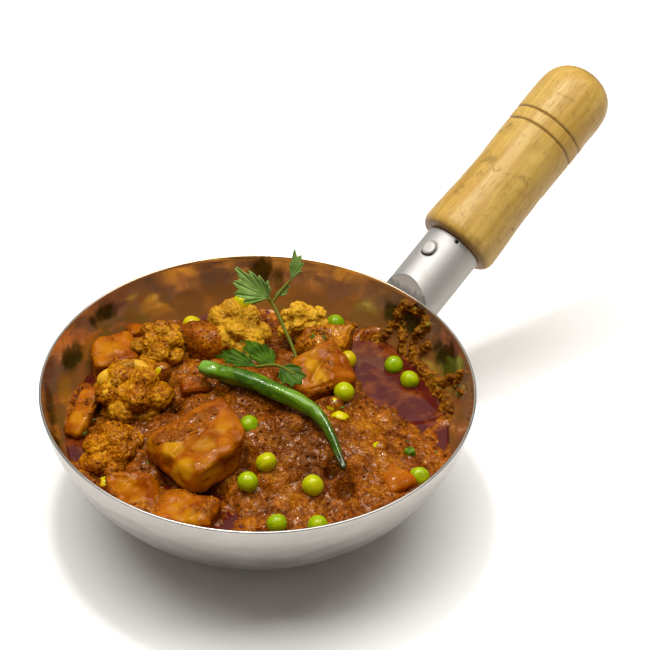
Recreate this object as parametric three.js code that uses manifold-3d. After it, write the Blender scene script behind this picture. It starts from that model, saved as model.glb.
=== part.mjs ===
// Aloo gobi in a small steel karahi with a turned wooden handle.
// Millimetres, +Z up. The origin is the centre of the bowl's flat base, and the handle rises along +X.
// The food is laid out as the diner sees it: in the group "servedFood" X is the diner's right and Y
// is away from the diner, and the group is turned so that the handle points away to the right.
import * as THREE from "three";
import { mergeVertices } from "three/addons/utils/BufferGeometryUtils.js";
import Module from "manifold-3d";

const wasm = await Module();
wasm.setup();

// ---- Driving dimensions ----
const RIM_RADIUS = 90;
const RIM_HEIGHT = 61;
const WALL_ACROSS = 90.5;       // half width and half height of the ellipse that the outside
const WALL_DOWN = 74.5;         // of the wall follows
const WALL = 1.2;
const LIP_RISE = 0.5;           // the rounded rim stands this much over the wall's cut edge
const BOWL_SEGMENTS = 32;
const OUTSIDE_STEPS = 6;        // facets up the outside of the wall
const INSIDE_STEPS = 5;         // and up its inside
const CONTENTS_SEGMENTS = 16;   // facets round the space that holds the food

const HANDLE_RISE = THREE.MathUtils.degToRad(29.5);
const HANDLE_ROOT_HEIGHT = 52;  // height of the handle's axis where it crosses the rim's radius
const SOCKET_RADIUS = 13.25;
const SOCKET_WALL = 1.4;
const SOCKET_LENGTH = 36;       // from the rim's radius to the wood, along the axis
const SOCKET_INSET = 21;        // how far the tube runs back below the rim, to meet the bowl
const MITRE_SLOPE = THREE.MathUtils.degToRad(78);
const WING_TURN = [6, 15];      // degrees round the rim over which the socket's welded wing runs
const WING_HEIGHT = 8;
const WING_THICKNESS = 1.6;
const WING_THINNING = 0.8;      // the share of its thickness that the wing has lost at its tip

const GRIP_LENGTH = 102.8;
const GRIP_SHOULDER = [[0, 15.8], [1.2, 17.4], [3, 18.3]];  // distance and radius, by the socket
const GRIP_BULB_RADIUS = 18.5;
const GRIP_WAIST_RADIUS = 17.2;
const GRIP_END_RADIUS = 17.7;
const GRIP_BULB_AT = 0.03;      // shares of the grip's length: where the bulb starts to narrow,
const GRIP_WAIST_AT = 0.34;     // where the waist is, and where the end has swelled again and
const GRIP_ROUND_AT = 0.8;      // starts to round off
const GRIP_END_FLATNESS = 3.2;  // higher is a blunter end
const GRIP_GROOVES = [62.6, 69.4];  // distances of the two turned grooves from the socket's end
const GROOVE_DEPTH = 0.7;
const GROOVE_HALF_WIDTH = 1;
const TANG_LENGTH = 18;
const HANDLE_SEGMENTS = 16;

const RIVET_RADIUS = 3.3;
const RIVET_HEIGHT = 1.3;
const RIVET_TURN = THREE.MathUtils.degToRad(5);
const RIVET_FROM_WOOD = 10.7;
const RIVET_SEGMENTS = 12;

const HANDLE_TURN = THREE.MathUtils.degToRad(47);  // from the diner's right round to the handle
const LEAF_THICKNESS = 0.6;
const STEM_RADIUS = 0.75;
const GAP = 0.32;               // clearance between pieces that touch
const ROOM = 0.42;              // the room that a thin piece is given by the food under it

// Height of the ellipse's centre, which puts the rim's radius at the rim's height.
const WALL_CENTRE = RIM_HEIGHT + WALL_DOWN * Math.sqrt(1 - (RIM_RADIUS / WALL_ACROSS) ** 2);

// ---- Finishes ----
function finish(color, roughness, metalness = 0) {
  return new THREE.MeshStandardMaterial({ color, roughness, metalness });
}

const FINISHES = {
  steel: () => finish(0xc9c8c6, 0.28, 1),
  wood: () => finish(0xc9994a, 0.5),
  masala: () => finish(0x8a3d14, 0.35),
  oil: () => finish(0x5a1408, 0.06),
  potato: () => finish(0xd98a22, 0.35),
  cauliflower: () => finish(0xc07a1e, 0.45),
  tomato: () => finish(0xb93c12, 0.3),
  pea: () => finish(0x7fb02a, 0.25),
  chilli: () => finish(0x1f5a1c, 0.18),
  coriander: () => finish(0x3f7a35, 0.5),
};

// ---- Solids ----

// A closed three.js geometry as a solid: shared vertices are merged, collapsed faces dropped.
function solidFrom(geometry) {
  const bare = geometry.clone();
  bare.deleteAttribute("normal");
  bare.deleteAttribute("uv");
  const merged = mergeVertices(bare, 1e-4);
  const corners = merged.index.array;
  const faces = [];
  for (let i = 0; i < corners.length; i += 3) {
    const [a, b, c] = corners.slice(i, i + 3);
    if (a !== b && b !== c && c !== a) {
      faces.push(a, b, c);
    }
  }
  const vertProperties = new Float32Array(merged.attributes.position.array);
  const triVerts = new Uint32Array(faces);
  return new wasm.Manifold(new wasm.Mesh({ numProp: 3, vertProperties, triVerts }));
}

function geometryFrom(solid) {
  const mesh = solid.getMesh();
  const geometry = new THREE.BufferGeometry();
  geometry.setAttribute("position", new THREE.BufferAttribute(mesh.vertProperties, 3));
  geometry.setIndex(new THREE.BufferAttribute(mesh.triVerts, 1));
  geometry.computeVertexNormals();
  return geometry;
}

function piece(name, geometry, finishName) {
  const mesh = new THREE.Mesh(geometry, FINISHES[finishName]());
  mesh.name = name;
  return mesh;
}

// A solid of revolution about +Z, from [radius, height] points that start and end on the axis.
function turned(profile, segments) {
  const points = profile.map(([radius, height]) => new THREE.Vector2(radius, height));
  return new THREE.LatheGeometry(points, segments).rotateX(Math.PI / 2);
}

// Points of the wall's ellipse, drawn in by inset, between two heights.
function wallArc(inset, fromHeight, toHeight, steps) {
  const across = WALL_ACROSS - inset;
  const down = WALL_DOWN - inset;
  const angleAt = (height) => Math.acos((WALL_CENTRE - height) / down);
  const start = angleAt(fromHeight);
  const end = angleAt(toHeight);
  return Array.from({ length: steps + 1 }, (_, i) => {
    const angle = THREE.MathUtils.lerp(start, end, i / steps);
    return [across * Math.sin(angle), WALL_CENTRE - down * Math.cos(angle)];
  });
}

// ---- The bowl ----
function bowlGeometry() {
  const outside = wallArc(0, 0, RIM_HEIGHT - LIP_RISE, OUTSIDE_STEPS);
  const inside = wallArc(WALL, WALL, RIM_HEIGHT - LIP_RISE, INSIDE_STEPS).reverse();
  const lip = [[(outside.at(-1)[0] + inside[0][0]) / 2, RIM_HEIGHT]];
  return turned([[0, 0], ...outside, ...lip, ...inside, [0, WALL]], BOWL_SEGMENTS);
}

// All that lies within the bowl and over it, a gap away from the flats of its wall.
function spaceInsideBowl() {
  const flatness = RIM_RADIUS * (1 - Math.cos(Math.PI / BOWL_SEGMENTS));
  const wall = wallArc(WALL + GAP + flatness, WALL + GAP, RIM_HEIGHT - LIP_RISE, INSIDE_STEPS);
  const top = 2 * RIM_HEIGHT;
  const profile = [[0, WALL + GAP], ...wall, [wall.at(-1)[0], top], [0, top]];
  return solidFrom(turned(profile, CONTENTS_SEGMENTS));
}

// ---- The handle, built along +X and then raised ----
const handleMatrix = new THREE.Matrix4()
  .makeRotationY(-HANDLE_RISE)
  .setPosition(RIM_RADIUS, 0, HANDLE_ROOT_HEIGHT);

// A solid of revolution about +X, from [distance, radius] points.
function turnedAlongX(profile) {
  const upright = profile.map(([distance, radius]) => [radius, distance]);
  return turned(upright, HANDLE_SEGMENTS).rotateY(Math.PI / 2);
}

function rod(radius, from, to) {
  return turnedAlongX([[from, 0], [from, radius], [to, radius], [to, 0]]);
}

// The half of space outside a plane that leans out from the rim, moved along by offset.
function outsideMitre(offset) {
  const size = 2 * GRIP_LENGTH;
  const block = new THREE.BoxGeometry(size, size, size);
  block.translate(size / 2 + offset, 0, 0);
  block.rotateY(Math.PI / 2 - MITRE_SLOPE);
  block.translate(RIM_RADIUS + GAP, 0, RIM_HEIGHT);
  return solidFrom(block);
}

// The strip of the socket that is hammered out, thinner and thinner, and welded along the rim.
function socketWing() {
  const [from, to] = WING_TURN.map(THREE.MathUtils.degToRad);
  const inner = RIM_RADIUS + GAP;
  const steps = 6;
  const face = [];
  const back = [];
  for (let i = 0; i <= steps; i += 1) {
    const turn = THREE.MathUtils.lerp(from, to, i / steps);
    const outer = inner + WING_THICKNESS * (1 - (WING_THINNING * i) / steps);
    face.push(new THREE.Vector2(inner * Math.cos(turn), inner * Math.sin(turn)));
    back.unshift(new THREE.Vector2(outer * Math.cos(turn), outer * Math.sin(turn)));
  }
  const strip = new THREE.Shape([...face, ...back]);
  const wing = new THREE.ExtrudeGeometry(strip, { depth: WING_HEIGHT, bevelEnabled: false });
  return solidFrom(wing.translate(0, 0, RIM_HEIGHT - WING_HEIGHT - LIP_RISE));
}

function socketGeometry() {
  const outer = rod(SOCKET_RADIUS, -SOCKET_INSET, SOCKET_LENGTH).applyMatrix4(handleMatrix);
  const bore = rod(SOCKET_RADIUS - SOCKET_WALL, -SOCKET_INSET - WALL, SOCKET_LENGTH + WALL)
    .applyMatrix4(handleMatrix);
  const bowlOutside = wallArc(-GAP, 0, RIM_HEIGHT, OUTSIDE_STEPS);
  const bowlBody = solidFrom(turned([[0, 0], ...bowlOutside, [0, RIM_HEIGHT]], BOWL_SEGMENTS));
  const closedBore = solidFrom(bore).intersect(outsideMitre(SOCKET_WALL));
  const tube = solidFrom(outer).intersect(outsideMitre(0));
  return geometryFrom(tube.add(socketWing()).subtract(closedBore).subtract(bowlBody));
}

// Radius of the grip at a distance from the socket: a bulb, a waist, and a long rounded end.
function gripRadius(distance) {
  const along = distance / GRIP_LENGTH;
  const waist = THREE.MathUtils.smoothstep(along, GRIP_BULB_AT, GRIP_WAIST_AT);
  const swell = THREE.MathUtils.smoothstep(along, GRIP_WAIST_AT, GRIP_ROUND_AT);
  const radius = THREE.MathUtils.lerp(GRIP_BULB_RADIUS, GRIP_WAIST_RADIUS, waist)
    + (GRIP_END_RADIUS - GRIP_WAIST_RADIUS) * swell;
  const rounded = Math.max(0, (along - GRIP_ROUND_AT) / (1 - GRIP_ROUND_AT));
  return radius * Math.sqrt(1 - 0.985 * rounded ** GRIP_END_FLATNESS);
}

function gripGeometry() {
  const body = [8, 18, 34, 50];
  const grooves = GRIP_GROOVES.flatMap((place) => {
    return [place - GROOVE_HALF_WIDTH, place, place + GROOVE_HALF_WIDTH];
  });
  const end = [82, 91, 97.5, 101.8];
  const isGroove = (distance) => GRIP_GROOVES.includes(distance);
  const turnedStretch = [...body, ...grooves, ...end].map((distance) => {
    return [distance, gripRadius(distance) - (isGroove(distance) ? GROOVE_DEPTH : 0)];
  });
  const tangRadius = SOCKET_RADIUS - SOCKET_WALL - GAP;
  const bevel = 1;
  const tang = [
    [-TANG_LENGTH, 0], [-TANG_LENGTH, tangRadius - bevel], [-TANG_LENGTH + bevel, tangRadius],
    [0, tangRadius],
  ];
  return turnedAlongX([...tang, ...GRIP_SHOULDER, ...turnedStretch, [GRIP_LENGTH, 0]]);
}

function rivetGeometry() {
  const edge = [[RIVET_RADIUS, 0], [RIVET_RADIUS * 0.96, RIVET_HEIGHT * 0.6]];
  return turned([[0, 0], ...edge, [0, RIVET_HEIGHT]], RIVET_SEGMENTS);
}

function handle() {
  const group = new THREE.Group();
  group.add(piece("handle_socket", socketGeometry(), "steel"));
  const raised = new THREE.Group();
  raised.applyMatrix4(handleMatrix);
  const grip = piece("handle_grip", gripGeometry(), "wood");
  grip.position.x = SOCKET_LENGTH + GAP;
  const rivet = piece("socket_rivet", rivetGeometry(), "steel");
  const seat = SOCKET_RADIUS + GAP;
  const rivetAt = SOCKET_LENGTH - RIVET_FROM_WOOD;
  rivet.position.set(rivetAt, seat * Math.sin(RIVET_TURN), seat * Math.cos(RIVET_TURN));
  rivet.rotation.x = -RIVET_TURN;
  raised.add(grip, rivet);
  group.add(raised);
  return group;
}

// ---- Lumps of food: solids given by how far they reach in each direction ----
function seededRandom(seed) {
  let state = (seed * 2654435761) % 4294967296;
  return () => {
    state = (state * 1664525 + 1013904223) % 4294967296;
    return state / 4294967296;
  };
}

function lump(detail, reach) {
  const ball = new THREE.IcosahedronGeometry(1, detail);
  const corners = ball.attributes.position;
  const direction = new THREE.Vector3();
  for (let i = 0; i < corners.count; i += 1) {
    direction.fromBufferAttribute(corners, i).normalize();
    direction.multiplyScalar(reach(direction));
    corners.setXYZ(i, direction.x, direction.y, direction.z);
  }
  return ball;
}

// A chunk cut with a knife: nearly flat faces, none square to the next, with cooked, rounded edges.
const KNIFE_TILT = 0.5;         // how far a face may lean from square, as a share of its depth
const EDGE_SHARPNESS = 7;

function potatoChunk(half, seed, detail) {
  const random = seededRandom(seed);
  const faces = [];
  for (const axis of [0, 1, 2]) {
    for (const side of [-1, 1]) {
      const normal = new THREE.Vector3().setComponent(axis, side);
      normal.x += (random() - 0.5) * KNIFE_TILT;
      normal.y += (random() - 0.5) * KNIFE_TILT;
      normal.z += (random() - 0.5) * KNIFE_TILT;
      faces.push({ normal: normal.normalize(), distance: half[axis] * (0.9 + 0.15 * random()) });
    }
  }
  return lump(detail, (direction) => {
    const sum = faces.reduce((total, { normal, distance }) => {
      return total + Math.max(0, direction.dot(normal) / distance) ** EDGE_SHARPNESS;
    }, 0);
    return sum ** (-1 / EDGE_SHARPNESS);
  });
}

// A floret's head: a crown of buds spread evenly by the golden angle round a rounded core.
// Sizes are shares of the head's own half size.
const BUD_COUNT = 16;
const SMALLEST_BUD = 0.3;
const BUD_VARIETY = 0.14;
const BUD_REACH = 1.02;
const CORE_REACH = 0.72;
const GOLDEN_ANGLE = Math.PI * (3 - Math.sqrt(5));

function floret(half, seed, detail) {
  const random = seededRandom(seed);
  const buds = Array.from({ length: BUD_COUNT }, (_, i) => {
    const height = 1 - (2 * (i + 0.5)) / BUD_COUNT;
    const around = i * GOLDEN_ANGLE;
    const size = SMALLEST_BUD + BUD_VARIETY * random();
    const flat = Math.sqrt(1 - height * height);
    const centre = new THREE.Vector3(flat * Math.cos(around), flat * Math.sin(around), height);
    return { centre: centre.multiplyScalar(BUD_REACH - size), size };
  });
  const crown = lump(detail, (direction) => {
    return buds.reduce((longest, { centre, size }) => {
      const along = direction.dot(centre);
      const inside = size ** 2 - centre.lengthSq() + along ** 2;
      return inside > 0 ? Math.max(longest, along + Math.sqrt(inside)) : longest;
    }, CORE_REACH);
  });
  return crown.scale(...half);
}

// A piece coated thickly in masala: an uneven, blunt lump, its surface raised by crossing waves.
const WAVE_COUNT = 5;
const WAVE_HEIGHT = 0.055;
const SLOWEST_WAVE = 2.2;
const WAVE_VARIETY = 2.6;

function coatedLump(half, seed, detail) {
  const random = seededRandom(seed);
  const waves = Array.from({ length: WAVE_COUNT }, () => ({
    way: new THREE.Vector3(random() - 0.5, random() - 0.5, random() - 0.5).normalize(),
    pace: SLOWEST_WAVE + WAVE_VARIETY * random(),
    start: 2 * Math.PI * random(),
  }));
  const uneven = lump(detail, (direction) => {
    return waves.reduce((reach, { way, pace, start }) => {
      return reach + WAVE_HEIGHT * Math.sin(pace * direction.dot(way) + start);
    }, 1);
  });
  return uneven.scale(...half);
}

const SHAPES = { potato: potatoChunk, cauliflower: floret, coated: coatedLump };

// name, shape, finish, centre, half sizes, turn about Z and lean towards the diner in degrees, detail
const CHUNKS = [
  ["potato_centre", "potato", "potato", [-22.1, -29.2, 48.5], [15.7, 14.3, 6.8], 39, -8, 2],
  ["potato_low_left", "potato", "potato", [-47, -46.5, 36], [10.5, 8, 7], 12, 20, 1],
  ["potato_low_middle", "potato", "potato", [-25.5, -55, 35.5], [12.5, 8.5, 7.5], -8, 22, 1],
  ["potato_far_left", "potato", "potato", [-64, 37.5, 41], [10, 9, 7], 20, 12, 1],
  ["potato_left_slice", "potato", "potato", [-73.5, 0, 38], [4.5, 11.5, 6.5], -6, 10, 1],
  ["potato_right", "potato", "potato", [24.5, 22.5, 44.5], [13, 11, 10], 35, 20, 1],
  ["potato_near_right", "potato", "potato", [56.3, -33, 38.5], [6, 8.5, 6], 25, 12, 1],
  ["potato_far_bit", "potato", "potato", [-56.2, 55.2, 41.5], [4, 3.4, 3.2], 30, 0, 0],
  ["cauliflower_left", "cauliflower", "cauliflower", [-52.7, 9, 44.8], [18.5, 17.5, 14], 10, 8, 2],
  ["cauliflower_low_left", "cauliflower", "cauliflower", [-58.8, -22.5, 39.5], [15.5, 12.5, 10], 50, 10, 2],
  ["cauliflower_upper_left", "cauliflower", "cauliflower", [-44.5, 39.5, 46], [13.5, 12.5, 11], 80, 5, 2],
  ["cauliflower_far", "cauliflower", "cauliflower", [-11.2, 50, 48], [18.5, 13.5, 13.5], 120, 6, 2],
  ["cauliflower_far_right", "cauliflower", "cauliflower", [17, 55, 49.8], [12, 10, 10], 200, 6, 2],
  ["cauliflower_stem", "potato", "cauliflower", [26, 44, 45.5], [10.5, 7, 7.5], -12, 18, 1],
  ["coated_lump_far", "coated", "masala", [-25.3, 44.5, 44], [12, 10, 9.5], 0, 0, 1],
  ["coated_lump_middle", "coated", "masala", [-1, 2.5, 45], [16, 10, 9.5], -14, 0, 1],
  ["tomato_bit", "potato", "tomato", [-27.2, 11, 47], [6, 4.5, 4.5], 15, 20, 1],
  ["chilli_slice", "potato", "chilli", [63, -19.5, 41], [2.7, 2.2, 2.8], 35, 0, 0],
];

function chunkGeometry([, shape, , centre, half, turn, lean, detail], index) {
  const geometry = SHAPES[shape](half, index + 1, detail);
  geometry.rotateZ(THREE.MathUtils.degToRad(turn));
  geometry.rotateX(THREE.MathUtils.degToRad(lean));
  return geometry.translate(...centre);
}

// ---- Peas ----
const PEA_RADIUS = 4.3;
const PEA_VARIETY = 0.1;
const PEA_FLATNESS = 0.94;
const PEA_SEGMENTS = [6, 5];
const FIRST_PEA_SEED = 40;
const PEA_PLACES = [
  [-3, -15.8, 50.5], [-2.1, -44.1, 45], [4.8, -34.7, 47.5], [23.9, -44.7, 45], [10.3, -63.8, 41.5],
  [26.5, -63.5, 41], [31.1, 62.5, 44], [36.7, 33.9, 46.5], [35.6, 12.4, 46.5], [57.2, 42.8, 37.5],
  [64, 32.9, 37.5], [66.7, -33.6, 41.5], [34, -6.4, 46.5], [31.7, 3, 46.5], [50.9, -19.5, 43],
  [-14.5, 8.2, 50.5], [-32.1, 59, 44], [-9.6, 58.5, 57.2], [-58.6, -43, 39.5], [-41.2, 13.8, 53],
];

function peaGeometry(place, index) {
  const random = seededRandom(index + FIRST_PEA_SEED);
  const size = PEA_RADIUS * (1 + PEA_VARIETY * (random() - 0.5));
  const pea = new THREE.SphereGeometry(size, ...PEA_SEGMENTS).scale(1, PEA_FLATNESS, 1);
  pea.rotateX(random() * Math.PI);
  pea.rotateY(random() * Math.PI);
  return pea.translate(...place);
}

// ---- The whole green chilli: turned on its own axis, then bent along its curve ----
const CHILLI_RADIUS = 3.7;
const CHILLI_SEGMENTS = 8;
const CHILLI_STEPS = 10;
const CHILLI_CURVE = new THREE.CatmullRomCurve3([
  new THREE.Vector3(-25.1, 13, 57),
  new THREE.Vector3(-6.3, 4.4, 58.6),
  new THREE.Vector3(14, -5.9, 57.4),
  new THREE.Vector3(24.5, -12.5, 55.4),
  new THREE.Vector3(31, -24, 52.6),
  new THREE.Vector3(36.3, -39, 48.6),
]);

// Radius along the pod, from the blunt stem end to the thin dry tip.
function chilliRadius(along) {
  const shoulder = Math.sqrt(Math.min(1, along / 0.06));
  const taper = 1 - 0.62 * THREE.MathUtils.smoothstep(along, 0.42, 0.95);
  return CHILLI_RADIUS * (0.62 + 0.38 * shoulder) * taper;
}

function chilliGeometry(grow) {
  const profile = Array.from({ length: CHILLI_STEPS + 1 }, (_, i) => {
    const along = i / CHILLI_STEPS;
    return [chilliRadius(along) + grow, along];
  });
  const pod = turned([[0, 0], ...profile, [0, 1]], CHILLI_SEGMENTS);
  const corners = pod.attributes.position;
  const side = new THREE.Vector3();
  const up = new THREE.Vector3(0, 0, 1);
  for (let i = 0; i < corners.count; i += 1) {
    const along = THREE.MathUtils.clamp(corners.getZ(i), 0, 1);
    const centre = CHILLI_CURVE.getPointAt(along);
    const forward = CHILLI_CURVE.getTangentAt(along);
    side.crossVectors(up, forward).normalize();
    const top = new THREE.Vector3().crossVectors(forward, side);
    centre.addScaledVector(side, corners.getX(i)).addScaledVector(top, corners.getY(i));
    corners.setXYZ(i, centre.x, centre.y, centre.z);
  }
  return pod;
}

// ---- Coriander ----
const LEAF_SPREAD = THREE.MathUtils.degToRad(56);  // a leaflet fans out this far to either side
const LOBE_OUTLINE = [0.66, 0.94, 0.9, 1];         // how far each lobe's points reach, from its notch

// A leaflet in the XY plane, its stalk at the origin, fanning out along +Y in notched lobes.
function leafletShape(length, width, lobes) {
  const count = lobes * LOBE_OUTLINE.length;
  const outline = new THREE.Shape();
  outline.moveTo(-STEM_RADIUS, 0);
  for (let i = 0; i <= count; i += 1) {
    const fan = THREE.MathUtils.lerp(-LEAF_SPREAD, LEAF_SPREAD, i / count);
    const notch = LOBE_OUTLINE[i % LOBE_OUTLINE.length];
    const reach = length * notch * (0.5 + 0.5 * Math.cos(fan) ** 2);
    outline.lineTo(Math.sin(fan) * reach * (width / length), Math.cos(fan) * reach);
  }
  outline.lineTo(STEM_RADIUS, 0);
  outline.closePath();
  return outline;
}

// A leaflet laid from its stalk to its tip, with its face turned towards facing.
function leaflet(stalkEnd, tip, width, lobes, facing) {
  const along = new THREE.Vector3().subVectors(tip, stalkEnd);
  const length = along.length();
  along.normalize();
  const normal = facing.clone().addScaledVector(along, -facing.dot(along)).normalize();
  const across = new THREE.Vector3().crossVectors(along, normal);
  const blade = new THREE.ExtrudeGeometry(leafletShape(length, width, lobes), {
    depth: LEAF_THICKNESS,
    bevelEnabled: false,
  });
  blade.translate(0, 0, -LEAF_THICKNESS / 2);
  const frame = new THREE.Matrix4().makeBasis(across, along, normal).setPosition(stalkEnd);
  return solidFrom(blade.applyMatrix4(frame));
}

function stalk(points, radius = STEM_RADIUS) {
  const section = new THREE.Shape();
  section.absarc(0, 0, radius, 0, 2 * Math.PI, false);
  const path = new THREE.CatmullRomCurve3(points);
  const settings = { extrudePath: path, steps: points.length, curveSegments: 3 };
  return solidFrom(new THREE.ExtrudeGeometry(section, settings));
}

const at = (x, y, z) => new THREE.Vector3(x, y, z);

// The sprig that stands in the food: a bare stalk that forks into leaves above the far florets.
const STANDING_STALK = [at(16.8, 16.7, 50), at(14.2, 26, 55.5), at(9, 36.5, 61.5), at(3.6, 46, 67)];

function standingSprig() {
  const fork = STANDING_STALK.at(-1);
  const leftBase = at(1.8, 46.8, 69);
  const rightBase = at(11.4, 53, 74.5);
  const towardsDiner = at(0, -0.8, 0.6);
  return stalk([...STANDING_STALK, leftBase])
    .add(stalk([fork, rightBase]))
    .add(leaflet(leftBase, at(-15.8, 51.5, 79.5), 20, 5, towardsDiner))
    .add(leaflet(leftBase, at(1, 51, 76.5), 8, 2, towardsDiner))
    .add(leaflet(rightBase, at(14.4, 57, 88.5), 10, 3, at(-0.3, -0.8, 0.5)));
}

// The sprig that lies across the chilli: three leaflets along one short stalk.
function lyingSprig() {
  const upwards = at(0, -0.35, 0.94);
  return stalk([at(-1.5, 6.5, 63.4), at(7, 7.6, 63.6), at(15, 3.6, 62.5)])
    .add(leaflet(at(-1, 6.6, 63.4), at(-21, 18.5, 62.5), 12, 3, upwards))
    .add(leaflet(at(6, 7.6, 63.6), at(-11, 28, 62.5), 13, 3, upwards))
    .add(leaflet(at(8.5, 7.2, 63.5), at(19.5, -1, 61.5), 14, 3, upwards));
}

// ---- Gravy and oil ----
const OIL_LEVEL = 36.5;
const OIL_DEPTH = 4;
const GRAVY_RINGS = 6;
const GRAVY_SEGMENTS = 22;
const RIPPLE_HEIGHT = 0.5;
const RIPPLE_PACE = 0.22;       // radians a millimetre
const POOL_STEPS = 18;

// Mounds of masala over the oil's level: place, height and how far each spreads in X and Y.
const MOUNDS = [
  { x: 12, y: -13, height: 14.5, spreadX: 36, spreadY: 27 },
  { x: -30, y: 15, height: 8, spreadX: 32, spreadY: 32 },
  { x: 54, y: -28, height: 5.5, spreadX: 22, spreadY: 22 },
  { x: 0, y: 40, height: 5, spreadX: 34, spreadY: 15 },
  { x: -50, y: -38, height: 4, spreadX: 26, spreadY: 20 },
  { x: 51, y: 65, height: 4, spreadX: 15, spreadY: 4 },
];

function gravyTop(x, y) {
  const ripple = RIPPLE_HEIGHT * (1 + Math.sin(RIPPLE_PACE * x) * Math.sin(RIPPLE_PACE * y));
  return MOUNDS.reduce((top, mound) => {
    const away = ((x - mound.x) / mound.spreadX) ** 2 + ((y - mound.y) / mound.spreadY) ** 2;
    return top + mound.height * Math.exp(-away);
  }, OIL_LEVEL + ripple);
}

// A deep round block whose flat top is raised to the mounds' height.
function gravyBlock() {
  const reach = RIM_RADIUS - 4;
  const top = Array.from({ length: GRAVY_RINGS + 1 }, (_, i) => {
    return [reach * (1 - i / GRAVY_RINGS), OIL_LEVEL];
  });
  const block = turned([[0, 0], [reach, 0], ...top], GRAVY_SEGMENTS);
  const corners = block.attributes.position;
  for (let i = 0; i < corners.count; i += 1) {
    if (corners.getZ(i) > OIL_LEVEL / 2) {
      corners.setZ(i, gravyTop(corners.getX(i), corners.getY(i)));
    }
  }
  return solidFrom(block);
}

// The shore of the open pool of red oil, beside the mound.
const POOL_SHORE = new THREE.CatmullRomCurve3([
  at(41, 56, 0), at(55, 61, 0), at(64, 46, 0), at(75, 38, 0), at(83, 20, 0),
  at(76, 10, 0), at(67, 6, 0), at(57, 8, 0), at(48, 18, 0), at(42, 30, 0),
], true);

// A slab of the pool's outline, widened by grow, between two heights.
function poolSlab(grow, bottom, top) {
  const middle = at(60, 32, 0);
  const outline = POOL_SHORE.getPoints(POOL_STEPS).slice(0, -1).map((shore) => {
    return shore.addScaledVector(shore.clone().sub(middle).normalize(), grow);
  });
  const shape = new THREE.Shape(outline.map((shore) => new THREE.Vector2(shore.x, shore.y)));
  const slab = new THREE.ExtrudeGeometry(shape, { depth: top - bottom, bevelEnabled: false });
  return solidFrom(slab.translate(0, 0, bottom));
}

// ---- Serving: each piece makes room for those laid before it, and the gravy for them all ----

// The same solid grown about its own middle, so that its faces stand a gap further out.
function grown(geometry, thinnest) {
  geometry.computeBoundingBox();
  const middle = geometry.boundingBox.getCenter(new THREE.Vector3());
  const factor = 1 + ROOM / thinnest;
  const larger = geometry.clone().translate(-middle.x, -middle.y, -middle.z);
  return solidFrom(larger.scale(factor, factor, factor).translate(middle.x, middle.y, middle.z));
}

// The one piece of a cut solid that is larger than all the crumbs the cuts left.
function largestPart(solid) {
  const parts = solid.decompose();
  return parts.reduce((largest, part) => (part.volume() > largest.volume() ? part : largest));
}

function servedFood() {
  const group = new THREE.Group();
  group.rotation.z = -HANDLE_TURN;
  const inside = spaceInsideBowl();
  const rooms = [];
  const lay = (name, finishName, solid, room) => {
    const settled = rooms.reduce((rest, taken) => rest.subtract(taken), solid);
    group.add(piece(name, geometryFrom(largestPart(settled)), finishName));
    if (room) {
      rooms.push(room);
    }
  };
  lay("green_chilli", "chilli", solidFrom(chilliGeometry(0)), solidFrom(chilliGeometry(ROOM)));
  const stalkRoom = stalk(STANDING_STALK, STEM_RADIUS + ROOM);
  lay("coriander_standing", "coriander", standingSprig(), stalkRoom);
  lay("coriander_lying", "coriander", lyingSprig());
  PEA_PLACES.forEach((place, index) => {
    const pea = peaGeometry(place, index);
    const settled = solidFrom(pea).intersect(inside);
    lay(`pea_${String(index + 1).padStart(2, "0")}`, "pea", settled, grown(pea, PEA_RADIUS));
  });
  CHUNKS.forEach((chunk, index) => {
    const [name, , finishName, , half] = chunk;
    const geometry = chunkGeometry(chunk, index);
    lay(name, finishName, solidFrom(geometry).intersect(inside), grown(geometry, Math.min(...half)));
  });
  const pool = poolSlab(0, OIL_LEVEL - OIL_DEPTH, OIL_LEVEL).intersect(inside);
  lay("oil_pool", "oil", pool, poolSlab(GAP, OIL_LEVEL - OIL_DEPTH - GAP, RIM_HEIGHT));
  lay("gravy", "masala", gravyBlock().intersect(inside));
  return group;
}

const aloogobi = new THREE.Group();
aloogobi.add(piece("pan_bowl", bowlGeometry(), "steel"));
aloogobi.add(handle());
aloogobi.add(servedFood());

export default aloogobi;
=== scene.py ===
"""Looks of a small steel karahi of aloo gobi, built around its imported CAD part.

Lengths are in millimetres until a mesh is made. The pan is laid out in the part's own frame, and the
food as the diner sees it: X to the diner's right and Y away, with the handle away to the right.
"""

import math
from itertools import product

import bmesh
import bpy
import numpy as np
from mathutils import Matrix, Vector


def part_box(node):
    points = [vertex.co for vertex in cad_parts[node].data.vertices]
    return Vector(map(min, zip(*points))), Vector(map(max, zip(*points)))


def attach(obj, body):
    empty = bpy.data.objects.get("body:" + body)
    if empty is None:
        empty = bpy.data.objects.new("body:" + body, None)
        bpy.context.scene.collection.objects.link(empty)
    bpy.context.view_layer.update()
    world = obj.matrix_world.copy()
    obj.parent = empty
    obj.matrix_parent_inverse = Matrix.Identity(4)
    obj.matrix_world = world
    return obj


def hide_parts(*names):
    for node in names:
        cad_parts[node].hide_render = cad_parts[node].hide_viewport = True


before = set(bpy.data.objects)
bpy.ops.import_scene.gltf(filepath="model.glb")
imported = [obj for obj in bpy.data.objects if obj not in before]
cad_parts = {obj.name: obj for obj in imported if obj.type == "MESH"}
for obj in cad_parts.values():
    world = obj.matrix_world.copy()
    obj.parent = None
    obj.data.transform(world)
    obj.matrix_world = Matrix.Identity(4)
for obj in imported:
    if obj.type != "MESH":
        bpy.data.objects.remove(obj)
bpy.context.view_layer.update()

MM = 0.001
HANDLE_TURN = math.radians(47)  # from the diner's right round to the handle

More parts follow.
